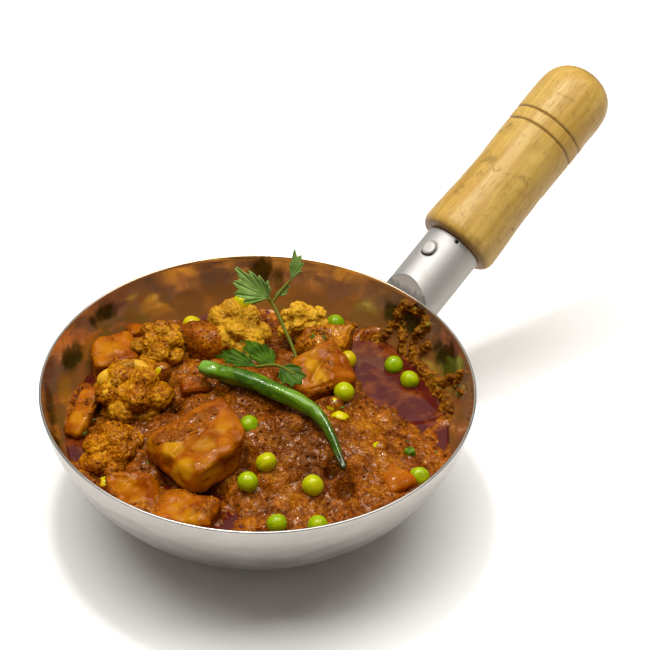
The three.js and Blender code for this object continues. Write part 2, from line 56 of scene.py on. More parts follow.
# ---- The pan's own dimensions ----
RIM_RADIUS = 90
RIM_HEIGHT = 61
WALL_ACROSS = 90.5  # half width and half height of the ellipse that the outside of the wall follows
WALL_DOWN = 74.5
WALL = 1.2
WALL_CENTRE = RIM_HEIGHT + WALL_DOWN * math.sqrt(1 - (RIM_RADIUS / WALL_ACROSS) ** 2)
LIP_RISE = 0.5
BOWL_SEGMENTS = 192

HANDLE_RISE = math.radians(29.5)
HANDLE_ROOT_HEIGHT = 52
SOCKET_RADIUS = 13.25
SOCKET_WALL = 1.4
SOCKET_LENGTH = 36
SOCKET_SEGMENTS = 160
SOCKET_FRONT = (0.02, 0.2, 0.4, 0.6, 0.75, 0.88, 0.96)  # shares of its radius, rings of the closed end
MITRE_SLOPE = math.radians(78)
PIN_HOLE_AT = 34.8  # distance along the socket of the small hole by the wood, and its turn from the top
PIN_HOLE_TURN = math.radians(-31)
WING_TURN = (6, 15)  # degrees round the rim over which the socket's welded wing runs
WING_HEIGHT = 8
WING_THICKNESS = 1.6
WING_THINNING = 0.8  # the shares of its thickness and height that the wing has lost at its tip
WING_NARROWING = 0.35

GRIP_LENGTH = 102.8
GRIP_SHOULDER = ((0, 15.8), (0.5, 16.7), (1.2, 17.4), (2.2, 18.0), (3.4, 18.35))  # distance, radius
GRIP_BULB_RADIUS = 18.5
GRIP_WAIST_RADIUS = 17.2
GRIP_END_RADIUS = 17.7
GRIP_BULB_AT = 0.03  # shares of the grip's length: where the bulb starts to narrow, where the waist
GRIP_WAIST_AT = 0.34  # is, and where the end has swelled again and starts to round off
GRIP_ROUND_AT = 0.8
GRIP_END_FLATNESS = 3.2
GRIP_END_CLOSING = 0.985
GRIP_GROOVES = (62.6, 69.4)
GROOVE_DEPTH = 0.8
GROOVE_HALF_WIDTH = 0.55
TANG_LENGTH = 18
GRIP_SEGMENTS = 120
# distance along, length, turn from the left side upwards in degrees and width of the knocked patches
KNOCKS = ((24, 12, 62, 26), (40, 9, 75, 20), (57, 5, 60, 25), (84, 9, 110, 14), (38, 7, 138, 10))

RIVET_RADIUS = 3.3
RIVET_HEIGHT = 1.3
RIVET_TURN = math.radians(5)
RIVET_ALONG = SOCKET_LENGTH - 10.7
RIVET_SEGMENTS = 56

# ---- The food's own dimensions ----
OIL_LEVEL = 36.5
OIL_DEPTH = 3
PEA_RADIUS = 4.3
CHILLI_RADIUS = 3.7
LEAF_THICKNESS = 0.3
SMEAR_SCALE = math.radians(84)  # millimetres along the wall for each degree
GRANULE = 0.85  # how wide a grain of masala or a bud of cauliflower is
GAP = 0.32  # clearance between pieces that touch
WALL_CLEARANCE = 0.1  # between the food and the wall
GRAVY_GRID = 316  # points along each side of the square grids that are pressed into the bowl
OIL_GRID = 140
TOWARDS_DINER = (0, -0.3, 0.95)
CROWDING = 0.45  # how far the points of a chunk are drawn to the side that shows
CUT_SHARPNESS = 7  # how sharp the edges between the cut faces of a chunk are
FLORET_KNOBS = 16
KNOB_SHARPNESS = 16
STEM_STEPS = 70
STEM_SEGMENTS = 40
CHILLI_STEPS = 220
CHILLI_SEGMENTS = 48
LEAF_RINGS = 12
LEAF_SPOKES = 170
STALK_SEGMENTS = 12
GRAVY_CRUMBS = 1000
CLINGING_CRUMBS = 800
CRUMB_MARGIN = 10  # how far inside the rim's radius the crumbs on the masala stay


# ---- Uneven surfaces ----
def scatter(cells, seed):
    """A repeatable number from 0 to 1 for each whole-numbered cell."""
    mixed = cells[..., 0] * 73856093 ^ cells[..., 1] * 19349663 ^ cells[..., 2] * 83492791
    mixed = (mixed ^ (seed * 2654435761)) & 0xFFFFFFFF
    for _ in range(2):
        mixed = (((mixed >> 16) ^ mixed) * 0x45D9F3B) & 0xFFFFFFFF
    return ((mixed >> 16) ^ mixed) / 4294967296


def swells(points, size, seed):
    """Smooth unevenness from -1 to 1, with swells about size across."""
    place = points / size + 17.3 * seed
    cell = np.floor(place).astype(np.int64)
    part = place - cell
    part = part * part * (3 - 2 * part)
    total = 0
    for corner in product((0, 1), repeat=3):
        share = np.prod(np.where(corner, part, 1 - part), axis=-1)
        total = total + share * scatter(cell + np.array(corner), seed)
    return 2 * total - 1


def drifts(points, size, seed):
    """Smooth unevenness of its own along each of the three axes."""
    return np.stack([swells(points, size, seed + axis) for axis in range(3)], -1)


def grains(points, size, seed):
    """Domed grains packed side by side, some taller than others: 0 in the gaps, up to 1 on a top."""
    place = points / size
    cell = np.floor(place).astype(np.int64)
    tallest = np.zeros(place.shape[:-1])
    for corner in product((-1, 0, 1), repeat=3):
        neighbour = cell + np.array(corner)
        spread = np.stack([scatter(neighbour, seed + axis) for axis in (1, 2, 3)], -1)
        apart = ((place - neighbour - spread) ** 2).sum(-1)
        top = 0.6 + 0.4 * scatter(neighbour, seed + 4)
        tallest = np.maximum(tallest, top - 1.15 * apart)
    return tallest


def smoothstep(low, high, value):
    share = np.clip((value - low) / (high - low), 0, 1)
    return share * share * (3 - 2 * share)


def unit(vectors):
    return vectors / np.linalg.norm(vectors, axis=-1, keepdims=True)


def distance_from(points, place):
    return np.linalg.norm(points - np.asarray(place), axis=-1)


def coordinates(*axes):
    """Points from arrays or numbers for each of their coordinates."""
    return np.stack(np.broadcast_arrays(*axes), -1)


def turned(x, y, angle):
    """Two coordinates turned anticlockwise by an angle."""
    cos, sin = np.cos(angle), np.sin(angle)
    return cos * x - sin * y, sin * x + cos * y


def line_distance(points, knots):
    """How far each point is from a line of straight stretches through the knots."""
    nearest = np.full(points.shape[:-1], 1e9)
    for start, end in zip(knots, knots[1:]):
        start, way = np.array(start, float), np.array(end, float) - np.array(start, float)
        share = np.clip(((points - start) @ way) / (way @ way), 0, 1)
        nearest = np.minimum(nearest, distance_from(points - start, share[..., None] * way))
    return nearest


def sunken(heights, width, depth):
    """How far each place of a square grid lies under its surroundings, 0 level and 1 at depth."""
    around = heights
    for axis in (0, 1):
        around = sum(np.roll(around, step, axis) for step in range(-width, width + 1)) / (2 * width + 1)
    return np.clip((around - heights) / depth, 0, 1)


def seeded_random(seed):
    """The same repeatable draws as the part's source makes."""
    state = (seed * 2654435761) % 4294967296
    while True:
        state = (state * 1664525 + 1013904223) % 4294967296
        yield state / 4294967296


# ---- Meshes ----
def triangles(faces):
    faces = np.asarray(faces)
    if faces.shape[1] == 3:
        return faces
    return np.concatenate([faces[:, [0, 1, 2]], faces[:, [0, 2, 3]]])


def mesh_of(name, points, *face_sets):
    """A smooth mesh from points in millimetres and arrays of three- or four-cornered faces."""
    mesh = bpy.data.meshes.new(name)
    mesh.vertices.add(len(points))
    mesh.vertices.foreach_set("co", (points * MM).astype(np.float32).ravel())
    corners = np.concatenate([np.asarray(faces).ravel() for faces in face_sets])
    sides = np.concatenate([np.full(len(faces), len(faces[0])) for faces in face_sets])
    mesh.loops.add(len(corners))
    mesh.loops.foreach_set("vertex_index", corners.astype(np.int32))
    mesh.polygons.add(len(sides))
    starts = np.concatenate([[0], np.cumsum(sides)[:-1]])
    mesh.polygons.foreach_set("loop_start", starts.astype(np.int32))
    mesh.update(calc_edges=True)
    mesh.validate()
    mesh.shade_smooth()
    return mesh


def as_served(points):
    """Points laid out as the diner sees them, in the part's frame."""
    return coordinates(*turned(points[..., 0], points[..., 1], -HANDLE_TURN), points[..., 2])


def add_values(mesh, name, values):
    attribute = mesh.attributes.new(name, "FLOAT", "POINT")
    attribute.data.foreach_set("value", np.asarray(values, np.float32))


def place_piece(mesh, finishes, nodes, matrix=None):
    """Puts a mesh in the scene as a piece that stands for CAD nodes, moved by a matrix if one is given."""
    piece = bpy.data.objects.new(mesh.name, mesh)
    bpy.context.scene.collection.objects.link(piece)
    for finish in finishes:
        mesh.materials.append(finish)
    if matrix is not None:
        mesh.transform(matrix)
    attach(piece, "root")
    if nodes:
        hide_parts(*nodes)


def grid_faces(rows, columns, closed=False):
    """Four-cornered faces of a grid of points, rows of columns, closed round its columns or not."""
    across = np.arange(columns if closed else columns - 1)
    row = np.arange(rows - 1)[:, None] * columns
    nxt = (across + 1) % columns
    faces = np.stack([row + across, row + nxt, row + columns + nxt, row + columns + across], -1)
    return faces.reshape(-1, 4)


def fan(hub, ring, flip=False):
    """Triangles from one point to a closed ring of points."""
    ring = np.asarray(ring)
    after = np.roll(ring, -1)
    faces = np.stack([np.full(len(ring), hub), ring, after], -1)
    return faces[:, ::-1] if flip else faces


def ball(fineness):
    """Directions spread evenly over a sphere, and the triangles that join them."""
    made = bmesh.new()
    bmesh.ops.create_icosphere(made, subdivisions=fineness, radius=1)
    points = np.array([corner.co[:] for corner in made.verts])
    faces = np.array([[corner.index for corner in face.verts] for face in made.faces])
    made.free()
    return unit(points), faces


BALLS = {fineness: ball(fineness) for fineness in (2, 3, 4, 5, 6)}


def joined(point_sets, face_sets):
    """The points of several shapes in one array, and their faces numbered to match."""
    starts = np.cumsum([0] + [len(points) for points in point_sets[:-1]])
    faces = [faces + start for faces, start in zip(face_sets, starts)]
    return np.concatenate(point_sets), np.concatenate(faces)


def normals_of(points, faces):
    corner = points[faces]
    flat = np.cross(corner[:, 1] - corner[:, 0], corner[:, 2] - corner[:, 0])
    total = np.zeros_like(points)
    for side in range(3):
        np.add.at(total, faces[:, side], flat)
    return unit(total + 1e-9)


def closed_tube(rows):
    """Points and faces of a tube of rings, its ends closed."""
    count, segments = rows.shape[0] * rows.shape[1], rows.shape[1]
    points = np.concatenate([rows.reshape(-1, 3), [rows[0].mean(0), rows[-1].mean(0)]])
    caps = np.concatenate([
        fan(count, np.arange(segments), True),
        fan(count + 1, np.arange(count - segments, count)),
    ])
    return points, grid_faces(rows.shape[0], segments, True), caps


def turned_mesh(profile, segments, bend=None):
    """Points and faces of a solid turned about Z from [radius, height] rows, its ends closed."""
    profile = np.asarray(profile, float)
    turn = np.linspace(0, 2 * math.pi, segments, endpoint=False)
    radius, height = profile[:, :1], profile[:, 1:]
    rows = coordinates(radius * np.cos(turn), radius * np.sin(turn), height)
    return closed_tube(rows if bend is None else bend(rows))


# ---- Shaders ----
class Value:
    """A value in a shader. Arithmetic on it adds Math nodes."""

    def __init__(self, shader, socket):
        self.shader = shader
        self.socket = socket

    def math(self, operation, *values):
        return self.shader.node("ShaderNodeMath", {"operation": operation}, dict(enumerate(values)))

    def __add__(self, other):
        return self.math("ADD", self, other)

    def __sub__(self, other):
        return self.math("SUBTRACT", self, other)

    def __rsub__(self, other):
        return self.math("SUBTRACT", other, self)

    def __mul__(self, other):
        return self.math("MULTIPLY", self, other)

    __radd__ = __add__
    __rmul__ = __mul__


class Shader:
    """A material in the making. node() adds a node and gives back one of its outputs. Its patterns
    lie along the part's own axes, or along those of the matrix of a turned piece."""

    def __init__(self, name, matrix=None):
        self.material = bpy.data.materials.new(name)
        self.material.use_nodes = True
        self.tree = self.material.node_tree
        self.tree.nodes.clear()
        self.place = self.node("ShaderNodeTexCoord", {}, {}, "Object")
        if matrix is not None:
            sockets = {
                "Vector": self.place,
                "Location": tuple(matrix.to_translation()),
                "Rotation": tuple(matrix.to_euler()),
            }
            self.place = self.node("ShaderNodeMapping", {"vector_type": "TEXTURE"}, sockets)

    def node(self, kind, settings, sockets, output=0):
        made = self.tree.nodes.new(kind)
        for name, value in settings.items():
            if name == "stops":
                self.set_stops(made.color_ramp.elements, value)
            else:
                setattr(made, name, value)
        for name, value in sockets.items():
            if isinstance(value, Value):
                self.tree.links.new(value.socket, made.inputs[name])
            else:
                made.inputs[name].default_value = value
        return Value(self, made.outputs[output]) if made.outputs else None

    @staticmethod
    def set_stops(elements, stops):
        while len(elements) > 1:
            elements.remove(elements[-1])
        for index, (position, colour) in enumerate(stops):
            stop = elements[0] if index == 0 else elements.new(position)
            stop.position = position
            stop.color = (*colour, 1)

    def noise(self, size, detail, roughness=0.5, distortion=0.0, place=None):
        """Smooth unevenness round one half, with swells about size millimetres across."""
        sockets = {
            "Vector": place or self.place,
            "Scale": 1 / (size * MM),
            "Detail": detail,
            "Roughness": roughness,
            "Distortion": distortion,
        }
        return self.node("ShaderNodeTexNoise", {}, sockets)

    def cells(self, size, output="Distance"):
        """Packed cells about size millimetres across: the distance to a cell's middle, or its Color."""
        sockets = {"Vector": self.place, "Scale": 1 / (size * MM)}
        return self.node("ShaderNodeTexVoronoi", {}, sockets, output)

    def stretched(self, scale):
        """The place scaled, to draw a pattern out along one way."""
        return self.node("ShaderNodeMapping", {}, {"Vector": self.place, "Scale": scale})

    def attribute(self, name):
        return self.node("ShaderNodeAttribute", {"attribute_name": name}, {}, "Fac")

    def step(self, value, low, high):
        """0 below low and 1 above high, smooth between them."""
        sockets = {"Value": value, "From Min": low, "From Max": high}
        return self.node("ShaderNodeMapRange", {"interpolation_type": "SMOOTHSTEP"}, sockets)

    def mix(self, share, first, second):
        """A mix of two colours, each of them a value or three numbers."""
        first, second = [c if isinstance(c, Value) else (*c, 1) for c in (first, second)]
        sockets = {0: share, 6: first, 7: second}
        return self.node("ShaderNodeMix", {"data_type": "RGBA"}, sockets, 2)

    def ramp(self, value, *stops):
        return self.node("ShaderNodeValToRGB", {"stops": stops}, {"Fac": value})

    def bump(self, height, strength, distance):
        """Relief whose height of 1 stands distance millimetres high."""
        sockets = {"Height": height, "Strength": strength, "Distance": distance * MM}
        return self.node("ShaderNodeBump", {}, sockets)

    def finish(self, **sockets):
        """Ends the material with one Principled surface, given the values of its sockets."""
        named = {name.replace("_", " "): value for name, value in sockets.items()}
        colour = named.get("Base Color")
        if isinstance(colour, tuple):
            named["Base Color"] = (*colour, 1)
        surface = self.node("ShaderNodeBsdfPrincipled", {}, named)
        self.node("ShaderNodeOutputMaterial", {}, {"Surface": surface})
        return self.material


# ---- Finishes ----
def steel_outside():
    """Spun steel: faint rings, clouded by use."""
    shader = Shader("satin_steel")
    rings = shader.noise(0.8, 3, place=shader.stretched((0.05, 0.05, 1)))
    cloud = shader.noise(32, 3)
    smudge = shader.step(shader.noise(13, 4), 0.50, 0.70)
    colour = shader.mix(cloud, (0.355, 0.335, 0.31), (0.43, 0.415, 0.39))
    roughness = 0.26 + 0.05 * rings + 0.10 * smudge
    relief = shader.bump(rings + 2 * shader.noise(16, 1), 0.12, 0.05)
    return shader.finish(Base_Color=colour, Metallic=1.0, Roughness=roughness, Normal=relief)


def steel_inside():
    """Polished steel under a brown film of cooked-on oil, thicker towards the food, with darker and more
    golden patches in it, partly cooked-on stains and partly painted reflections of the food."""
    shader = Shader("oiled_steel")
    streak = shader.noise(5, 3, 0.55, 0.5, shader.stretched((1, 1, 0.12)))
    blotch = shader.noise(17, 4, 0.55, 0.6)
    film = shader.attribute("film")
    oiled = shader.step(film + 0.7 * streak + 0.5 * blotch, 0.75, 1.45)
    olive = shader.step(shader.noise(30, 2), 0.5, 0.62)
    orange = shader.mix(olive * 0.7, (0.50, 0.225, 0.055), (0.34, 0.25, 0.035))
    clear = shader.mix(oiled, (0.74, 0.52, 0.32), orange)
    ragged = 1.5 * (shader.noise(9, 4, 0.55, 0.9, shader.stretched((1, 1, 0.55))) - 0.5)
    # golden painted reflection of the food, partly cooked-on stain
    glow = shader.step(shader.attribute("glow") + ragged, 0.25, 0.95)
    with_golden_reflection = shader.mix(glow, clear, (0.72, 0.34, 0.04))
    # dark olive painted reflection of the leaf and food, partly cooked-on stain
    dark_reflection_and_stain = shader.step(shader.attribute("dark_reflection_and_stain") + ragged, 0.22, 0.80)
    colour = shader.mix(dark_reflection_and_stain * 0.95, with_golden_reflection, (0.080, 0.067, 0.007))
    roughness = 0.03 + 0.10 * blotch + 0.07 * streak
    relief = shader.bump(streak + blotch, 0.25, 0.12)
    return shader.finish(
        Base_Color=colour, Metallic=0.88 - 0.24 * oiled, Roughness=roughness, Normal=relief
    )


def steel_tube():
    shader = Shader("socket_steel", HANDLE_MATRIX)
    drawn = shader.noise(1.8, 3, place=shader.stretched((0.03, 1, 1)))
    blotch = shader.noise(8, 4)
    # painted shade in the pin hole, round the rivet and at the corner gap, with a darker seam line
    shade_and_soot = shader.attribute("shade_and_soot")
    band = shader.mix(drawn, (0.43, 0.41, 0.385), (0.485, 0.47, 0.445))
    clean = shader.mix(shader.step(blotch, 0.5, 0.7) * 0.5, band, (0.44, 0.405, 0.36))
    dull = shader.attribute("dull")
    ground = shader.mix(dull, clean, (0.66, 0.64, 0.60))
    colour = shader.mix(shade_and_soot, ground, (0.045, 0.035, 0.03))
    roughness = 0.58 + 0.12 * blotch + 0.2 * shade_and_soot
    relief = shader.bump(drawn + dull * blotch, 0.2, 0.08)
    return shader.finish(
        Base_Color=colour, Metallic=0.95 - 0.6 * dull, Roughness=roughness, Normal=relief
    )


def grip_wood():
    """Varnished hardwood: long grain, dark pores, handling marks and a browner socket end."""
    shader = Shader("grip_wood", GRIP_MATRIX)
    bend = shader.noise(34, 3)
    along = shader.stretched((0.05, 1, 1))
    rings = shader.noise(3.4, 3, 0.55, 0.8, along)
    fibre = shader.noise(0.55, 2, place=shader.stretched((0.035, 1, 1)))
    pores = shader.step(shader.noise(0.6, 2, place=shader.stretched((0.09, 1, 1))), 0.60, 0.70)
    knocked = shader.attribute("knocked")
    marks = shader.step(shader.noise(8, 6, 0.68, 0.7) + 0.07 * knocked, 0.575, 0.68)
    grime = shader.step(shader.noise(17, 4, 0.6, 0.4), 0.50, 0.66)
    darker_bands = shader.attribute("darker_bands")
    base = shader.ramp(
        rings * 0.5 + bend * 0.5,
        (0.36, (0.37, 0.197, 0.031)),
        (0.50, (0.45, 0.270, 0.053)),
        (0.64, (0.54, 0.355, 0.088)),
    )
    grained = shader.mix(fibre * 0.3, base, (0.29, 0.150, 0.028))
    pored = shader.mix(pores * 0.45, grained, (0.12, 0.062, 0.014))
    handled = shader.mix(grime * 0.22, pored, (0.20, 0.105, 0.02))
    marked = shader.mix(marks * 0.5, handled, (0.155, 0.08, 0.017))
    colour = shader.mix(darker_bands, marked, (0.15, 0.068, 0.018))
    roughness = 0.32 + 0.16 * fibre + 0.18 * marks
    relief = shader.bump(fibre * 0.6 + rings * 0.5 - pores * 0.6 - marks * 0.6, 0.4, 0.16)
    return shader.finish(
        Base_Color=colour, Roughness=roughness, Normal=relief, Specular_IOR_Level=0.25
    )


def masala_colour(shader):
    """Brown-red fried paste of fine granules, broken by orange oil, dark spice and pale onion."""
    region = shader.noise(19, 2)
    patch = shader.noise(6, 3, 0.6, 0.4)
    fleck = shader.noise(1.6, 3, 0.7)
    granule = shader.cells(GRANULE, "Color")
    tone = region * 0.34 + patch * 0.36 + fleck * 0.14 + granule * 0.16
    base = shader.ramp(
        tone,
        (0.40, (0.080, 0.014, 0.0002)),
        (0.47, (0.168, 0.036, 0.0004)),
        (0.54, (0.265, 0.070, 0.0008)),
        (0.63, (0.400, 0.142, 0.004)),
    )
    # painted shade in the gaps between the granules
    gap_shade = shader.step(shader.cells(GRANULE), 0.5, 0.9)
    spice = shader.step(shader.cells(2.3), 0.13, 0.24)
    dusted = shader.mix((1 - spice) * 0.22, base, (0.035, 0.008, 0.001))
    return shader.mix(gap_shade * 0.45, dusted, (0.050, 0.010, 0.0005))


def granule_relief(shader):
    """The height of fine granules, in parts of their own size."""
    return 1 - shader.cells(GRANULE) + 0.4 * shader.noise(0.7, 2)


def masala_finish():
    shader = Shader("masala")
    crevice_shade_and_browning = shader.attribute("crevice_shade_and_browning")
    # painted shade in the masala's hollows and low places, a darker patch just right of the middle, and
    # darker crumbs at random
    colour = shader.mix(crevice_shade_and_browning * 0.85, masala_colour(shader), (0.020, 0.003, 0.0005))
    wet = shader.step(shader.noise(3.2, 3, 0.6), 0.50, 0.62)
    relief = shader.bump(granule_relief(shader), 0.7, 0.30)
    return shader.finish(
        Base_Color=colour, Roughness=0.44 - 0.26 * wet, Normal=relief, Specular_IOR_Level=0.30,
        Specular_Tint=(1.0, 0.55, 0.20, 1), Coat_Weight=wet * 0.45, Coat_Roughness=0.08
    )


def dried_masala_finish():
    """The drier turmeric-yellow paste that clings to the wall, with bits of herb."""
    shader = Shader("dried_masala")
    crevice_shade_and_browning = shader.attribute("crevice_shade_and_browning")
    patch = shader.noise(5, 3, 0.6, 0.3)
    fleck = shader.noise(1.2, 2)
    base = shader.ramp(
        patch * 0.55 + fleck * 0.45,
        (0.38, (0.07, 0.017, 0.0005)),
        (0.50, (0.17, 0.052, 0.0015)),
        (0.62, (0.32, 0.125, 0.005)),
    )
    herb = shader.step(shader.noise(3.6, 1), 0.64, 0.69)
    green = shader.mix(herb * 0.8, base, (0.13, 0.12, 0.012))
    # painted shade where the smear's relief lies low
    colour = shader.mix(crevice_shade_and_browning * 0.8, green, (0.055, 0.014, 0.001))
    relief = shader.bump(granule_relief(shader), 0.7, 0.40)
    return shader.finish(
        Base_Color=colour, Roughness=0.3 + 0.3 * fleck, Normal=relief, Specular_IOR_Level=0.1,
        Specular_Tint=(1.0, 0.8, 0.5, 1)
    )


def coated_finish(name, shades, patch_size, buds, glow):
    """A cooked vegetable under masala where the piece is coated. Its shades run deep, middle, bright
    and pale; buds is 0 for a smooth cut face and 1 for a head of fine buds."""
    deep, middle, bright, pale = shades
    shader = Shader(name)
    coating = shader.attribute("coating")
    crevice_shade_and_browning = shader.attribute("crevice_shade_and_browning")
    patch = shader.noise(patch_size, 3, 0.55, 0.6)
    fine = shader.noise(1.3, 3, 0.65)
    bud = shader.cells(GRANULE, "Color")
    tone = patch * 0.68 + fine * 0.32 + (bud - 0.5) * (0.3 * buds)
    own = shader.ramp(tone, (0.37, deep), (0.47, middle), (0.60, bright))
    paled = shader.mix(shader.attribute("pale"), own, pale)
    # painted shade in the gaps between buds
    gap_shade = shader.step(shader.cells(GRANULE), 0.5, 0.9)
    parted = shader.mix(gap_shade * (0.25 * buds), paled, (0.20, 0.060, 0.001))
    # painted shade in the crevices and in the masala's hollows, with the browning of fried edges and
    # grooves
    stained = shader.mix(crevice_shade_and_browning * 0.7, parted, (0.165, 0.042, 0.0005))
    edge = shader.step(coating + 0.6 * (fine - 0.5), 0.3, 0.62)
    colour = shader.mix(edge * (0.80 - 0.15 * buds), stained, masala_colour(shader))
    grained = granule_relief(shader) * (edge + 0.9 * buds)
    relief = shader.bump(grained + shader.noise(2.2, 2), 0.5, 0.32)
    wet = shader.step(shader.noise(4.5, 3, 0.6), 0.46, 0.60)
    return shader.finish(
        Base_Color=colour,
        Roughness=0.42 - 0.22 * wet,
        Normal=relief,
        Specular_IOR_Level=0.16,
        Specular_Tint=(1.0, 0.60, 0.15, 1),
        Coat_Weight=wet * (0.24 - 0.10 * buds),
        Coat_Roughness=0.07,
        Subsurface_Weight=glow,
        Subsurface_Radius=(1.0, 0.30, 0.04),
        Subsurface_Scale=0.0015,
    )


def pea_finish():
    shader = Shader("peas")
    ripeness = shader.attribute("ripeness")
    coating = shader.attribute("coating")
    mottle = shader.noise(2.4, 3)
    skin = shader.ramp(
        ripeness + 0.5 * (mottle - 0.5),
        (0.0, (0.135, 0.255, 0.0005)),
        (0.3, (0.30, 0.36, 0.0005)),
        (0.6, (0.50, 0.42, 0.0005)),
        (1.0, (0.40, 0.26, 0.001)),
    )
    edge = shader.step(coating + 0.6 * (shader.noise(1.2, 2) - 0.5), 0.4, 0.7)
    colour = shader.mix(edge, skin, masala_colour(shader))
    relief = shader.bump(shader.noise(1.6, 2), 0.22, 0.3)
    return shader.finish(
        Base_Color=colour,
        Roughness=0.10 + 0.20 * mottle,
        Normal=relief,
        Specular_IOR_Level=0.34,
        Specular_Tint=(1.0, 1.0, 0.55, 1),
        Subsurface_Weight=0.2,
        Subsurface_Radius=(0.5, 1.0, 0.05),
        Subsurface_Scale=0.002,
    )


def chilli_finish():
    shader = Shader("chilli_skin")
    along = shader.attribute("along")
    flow = shader.noise(6, 3, 0.5, 0.4, shader.stretched((0.6, 0.6, 1)))
    skin = shader.mix(shader.step(flow, 0.38, 0.64), (0.028, 0.080, 0.003), (0.105, 0.215, 0.006))
    neck = 1 - shader.step(along + 0.02 * flow, 0.05, 0.11)
    green = shader.mix(neck, skin, (0.13, 0.27, 0.03))
    tip = shader.step(along + 0.05 * flow, 0.90, 0.98)
    late = shader.step(along + 0.08 * flow, 0.55, 1.0)
    darkened = shader.mix(late * 0.6, green, (0.018, 0.042, 0.004))
    colour = shader.mix(tip * 0.9, darkened, (0.016, 0.016, 0.004))
    relief = shader.bump(shader.noise(2.8, 2), 0.55, 0.45)
    return shader.finish(
        Base_Color=colour,
        Roughness=0.08 + 0.14 * flow + 0.08 * tip,
        Normal=relief,
        Specular_IOR_Level=0.45,
        Specular_Tint=(0.9, 1.0, 0.75, 1),
    )


def leaf_finish(name, deep, light):
    shader = Shader(name)
    vein = shader.attribute("vein")
    blotch = shader.noise(5, 3)
    blade = shader.mix(shader.step(blotch, 0.36, 0.64), deep, light)
    veined = shader.mix(vein * 0.4, blade, light)
    colour = shader.mix(shader.attribute("stalk"), veined, (0.115, 0.115, 0.008))
    relief = shader.bump(shader.noise(0.8, 2) - vein, 0.3, 0.15)
    return shader.finish(
        Base_Color=colour, Roughness=0.34 + 0.14 * blotch, Normal=relief, Specular_IOR_Level=0.08
    )


def oil_finish():
    """Red chilli oil, clearer and oranger where masala lies just under it."""
    shader = Shader("red_oil")
    drift = shader.noise(13, 4, 0.55, 0.9)
    cloud = shader.step(shader.noise(9, 3, 0.5, 0.6), 0.44, 0.72)
    deep = shader.mix(drift, (0.040, 0.003, 0.003), (0.085, 0.009, 0.005))
    colour = shader.mix(cloud * 0.5, deep, (0.24, 0.060, 0.003))
    relief = shader.bump(shader.noise(10, 2), 0.2, 0.12)
    return shader.finish(Base_Color=colour, Roughness=0.04, Normal=relief, Specular_IOR_Level=0.14)


def floor_finish():
    shader = Shader("pale_floor")
    tone = shader.mix(shader.noise(300, 2), (0.93, 0.91, 0.88), (0.95, 0.93, 0.90))
    return shader.finish(Base_Color=tone, Roughness=0.7)


# ---- The bowl ----
def wall_radius(height, inset=0.0):
    down = WALL_DOWN - inset
    return (WALL_ACROSS - inset) * np.sqrt(1 - ((WALL_CENTRE - np.asarray(height)) / down) ** 2)


def wall_arc(inset, low, high, steps):
    down = WALL_DOWN - inset
    start, end = (math.acos((WALL_CENTRE - height) / down) for height in (low, high))
    angle = np.linspace(start, end, steps + 1)
    return np.stack([(WALL_ACROSS - inset) * np.sin(angle), WALL_CENTRE - down * np.cos(angle)], -1)


def drawn_in(points, limit):
    """Points moved in towards the middle wherever they lie further out than the limit."""
    radius = np.linalg.norm(points[:, :2], axis=1)
    drawn = points.copy()
    drawn[:, :2] *= np.minimum(1, limit / np.maximum(radius, 1e-6))[:, None]
    return drawn


def keep_inside(points):
    """Draws in whatever would stand through the wall of the bowl."""
    return drawn_in(points, wall_radius(np.clip(points[:, 2], 2, RIM_HEIGHT), WALL + WALL_CLEARANCE))


# turn in degrees from the diner's right, height, and spreads of the patches on the wall: stains cooked onto
# it, and painted reflections of the food and the leaf
DARK_REFLECTIONS_AND_STAINS = (
    (91, 53, 6, 9), (143, 54, 7, 4), (161, 49, 7, 6), (45, 50, 9, 7), (22, 50, 9, 8), (186, 50, 8, 8),
    (198, 47, 6, 7),
)
GOLDEN_REFLECTIONS_AND_STAINS = ((172, 43, 7, 6), (152, 46, 7, 5), (192, 44, 6, 5))


def stained(points, stains):
    """How strongly the patches show at points of the wall, 0 to 1: cooked-on stains and painted reflections
    of the food.
    """
    turn = np.degrees(np.arctan2(points[:, 1], points[:, 0]) + HANDLE_TURN)
    shown = np.zeros(len(points))
    for angle, height, wide, tall in stains:
        aside = ((turn - angle + 180) % 360 - 180) / wide
        shown = np.maximum(shown, np.exp(-(aside**2) - ((points[:, 2] - height) / tall) ** 2))
    return shown


